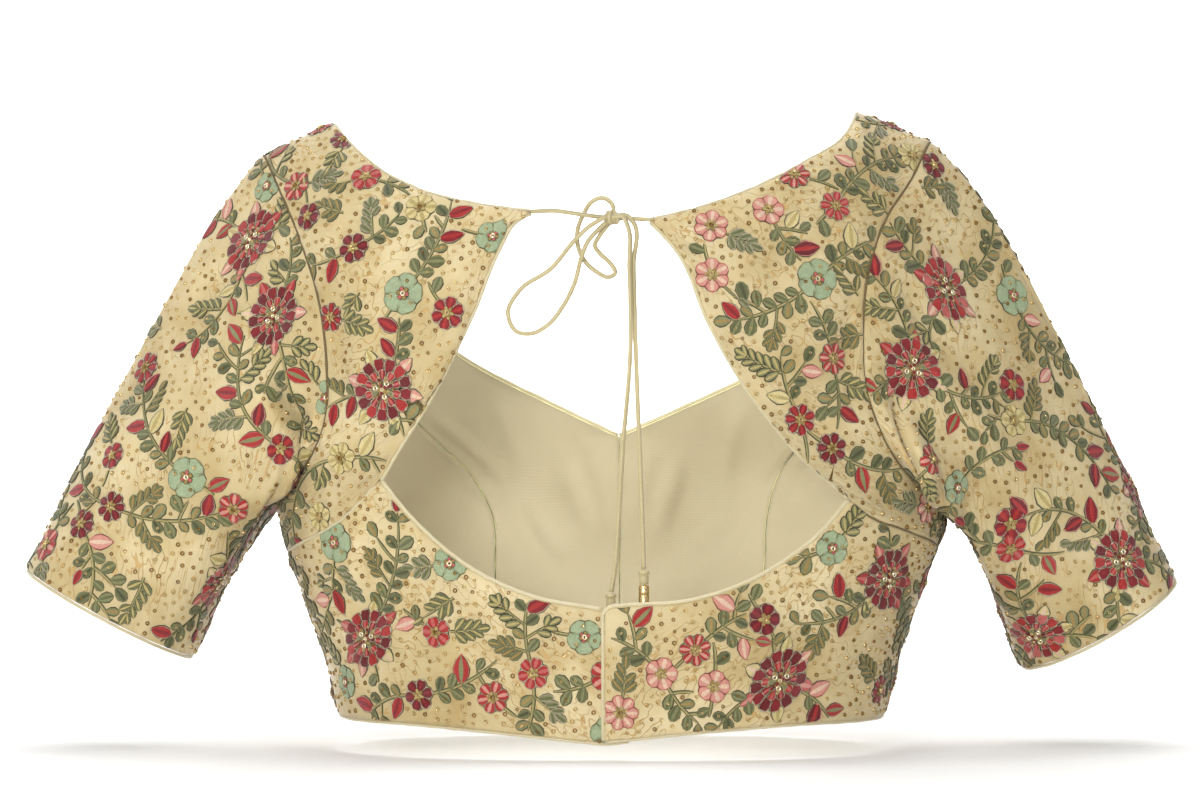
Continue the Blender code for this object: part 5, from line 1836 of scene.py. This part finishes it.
def stage():
    """Pale round floor that bends up into a plain wall on every side."""
    bend = np.linspace(0, pi / 2, 16)
    wall = WALL_REACH - WALL_BEND + WALL_BEND * np.sin(bend)
    reach = np.concatenate([FLOOR_RINGS, wall, [WALL_REACH]])
    level = np.zeros(len(FLOOR_RINGS))
    rise = np.concatenate([level, WALL_BEND * (1 - np.cos(bend)), [WALL_TOP]]) + FLOOR_Z
    turn = np.linspace(0, 2 * pi, STAGE_SIDES, endpoint=False)
    height = np.repeat(rise[:, None], STAGE_SIDES, 1)
    grid = np.stack([np.outer(reach, np.cos(turn)), np.outer(reach, np.sin(turn)), height], axis=-1)
    faces = grid_faces(len(reach), STAGE_SIDES, True) + [tuple(range(STAGE_SIDES - 1, -1, -1))]
    floor = make_mesh("floor", grid.reshape(-1, 3), faces, ("studio_floor",))


# Lights: place, what it points at, size, power
LIGHTS = {
    "key": ((-1500, -1700, 1300), (0, 0, -170), 900, 9),
    "front": ((-350, -2400, 180), (0, 0, -170), 600, 32),
    "top": ((0, -300, 1900), (0, 0, -170), 1500, 4),
    "back_left": ((-1700, 900, 700), (0, 0, -170), 900, 4),
    "backdrop": ((0, 4700, 2400), (0, 6100, 0), 1800, 260),
    "floor_behind": ((0, 1600, 2500), (0, 1500, -346), 2400, 60),
    "inside_left": ((-64, -66, -108), (30, 95, -225), 90, 0.10),
    "inside_right": ((64, -66, -112), (-30, 95, -225), 90, 0.075),
    "floor": ((0, -900, 2300), (0, -300, -346), 2200, 12),
}
WORLD_LIGHT = 0.34


def lights():
    """Soft round lamps, none of them visible to the camera, and a faint even light."""
    for name, (place, aim, size, power) in LIGHTS.items():
        lamp = bpy.data.lights.new(name, "AREA")
        lamp.shape = "DISK"
        lamp.size = size * MM
        lamp.energy = power
        thing = bpy.data.objects.new(name, lamp)
        thing.location = Vector(place) * MM
        thing.rotation_euler = (Vector(aim) * MM - thing.location).to_track_quat("-Z", "Y").to_euler()
        thing.visible_camera = False
        bpy.context.scene.collection.objects.link(thing)
    world = bpy.data.worlds.new("studio")
    world.use_nodes = True
    world.node_tree.nodes["Background"].inputs["Color"].default_value = (1.0, 0.99, 0.97, 1.0)
    world.node_tree.nodes["Background"].inputs["Strength"].default_value = WORLD_LIGHT
    bpy.context.scene.world = world


def camera():
    """The photograph's camera: level, a little to the left of square on."""
    right = np.array([cos(VIEW_TURN), sin(VIEW_TURN), 0.0])
    back = np.array([sin(VIEW_TURN), -cos(VIEW_TURN), 0.0])
    place = right * VIEW_ACROSS + back * VIEW_DISTANCE + (0, 0, VIEW_HEIGHT)
    lens = bpy.data.cameras.new("photo_camera")
    lens.sensor_width = SENSOR
    lens.lens = FOCAL_PIXELS / IMAGE_WIDTH * SENSOR
    lens.clip_end = 50.0
    thing = bpy.data.objects.new("photo_camera", lens)
    thing.location = Vector(place) * MM
    thing.rotation_euler = (pi / 2, 0, VIEW_TURN)
    bpy.context.scene.collection.objects.link(thing)
    bpy.context.scene.camera = thing


def build():
    """Sews the whole blouse, then sets it on the stage."""
    camera()
    tips = {}
    cut = {hand: panel_lines(hand) for hand in HANDS}
    sewn = {}
    for hand in HANDS:
        flap, band, tips["cord_" + hand] = back_panels(hand, cut[hand])
        sewn["back_flap_" + hand] = flap
        sewn["back_band_" + hand] = band
        fronts = front_panels(hand, cut[hand])
        hem_edging(hand, band, fronts)
        closed_seams(hand, cut[hand])
        sewn.update(fronts)
        sewn["sleeve_" + hand] = sleeve(hand, cut[hand])
    tie_cord(tips)
    for name, cloth in sewn.items():
        piece = dress(cloth.wall("worn_" + name, "embroidered_silk", "reverse_cloth"), name)
        declare_sheet(piece, cloth)
        embroider(name, cloth)
    stage()
    lights()


build()
bpy.context.scene.view_settings.view_transform = "Standard"
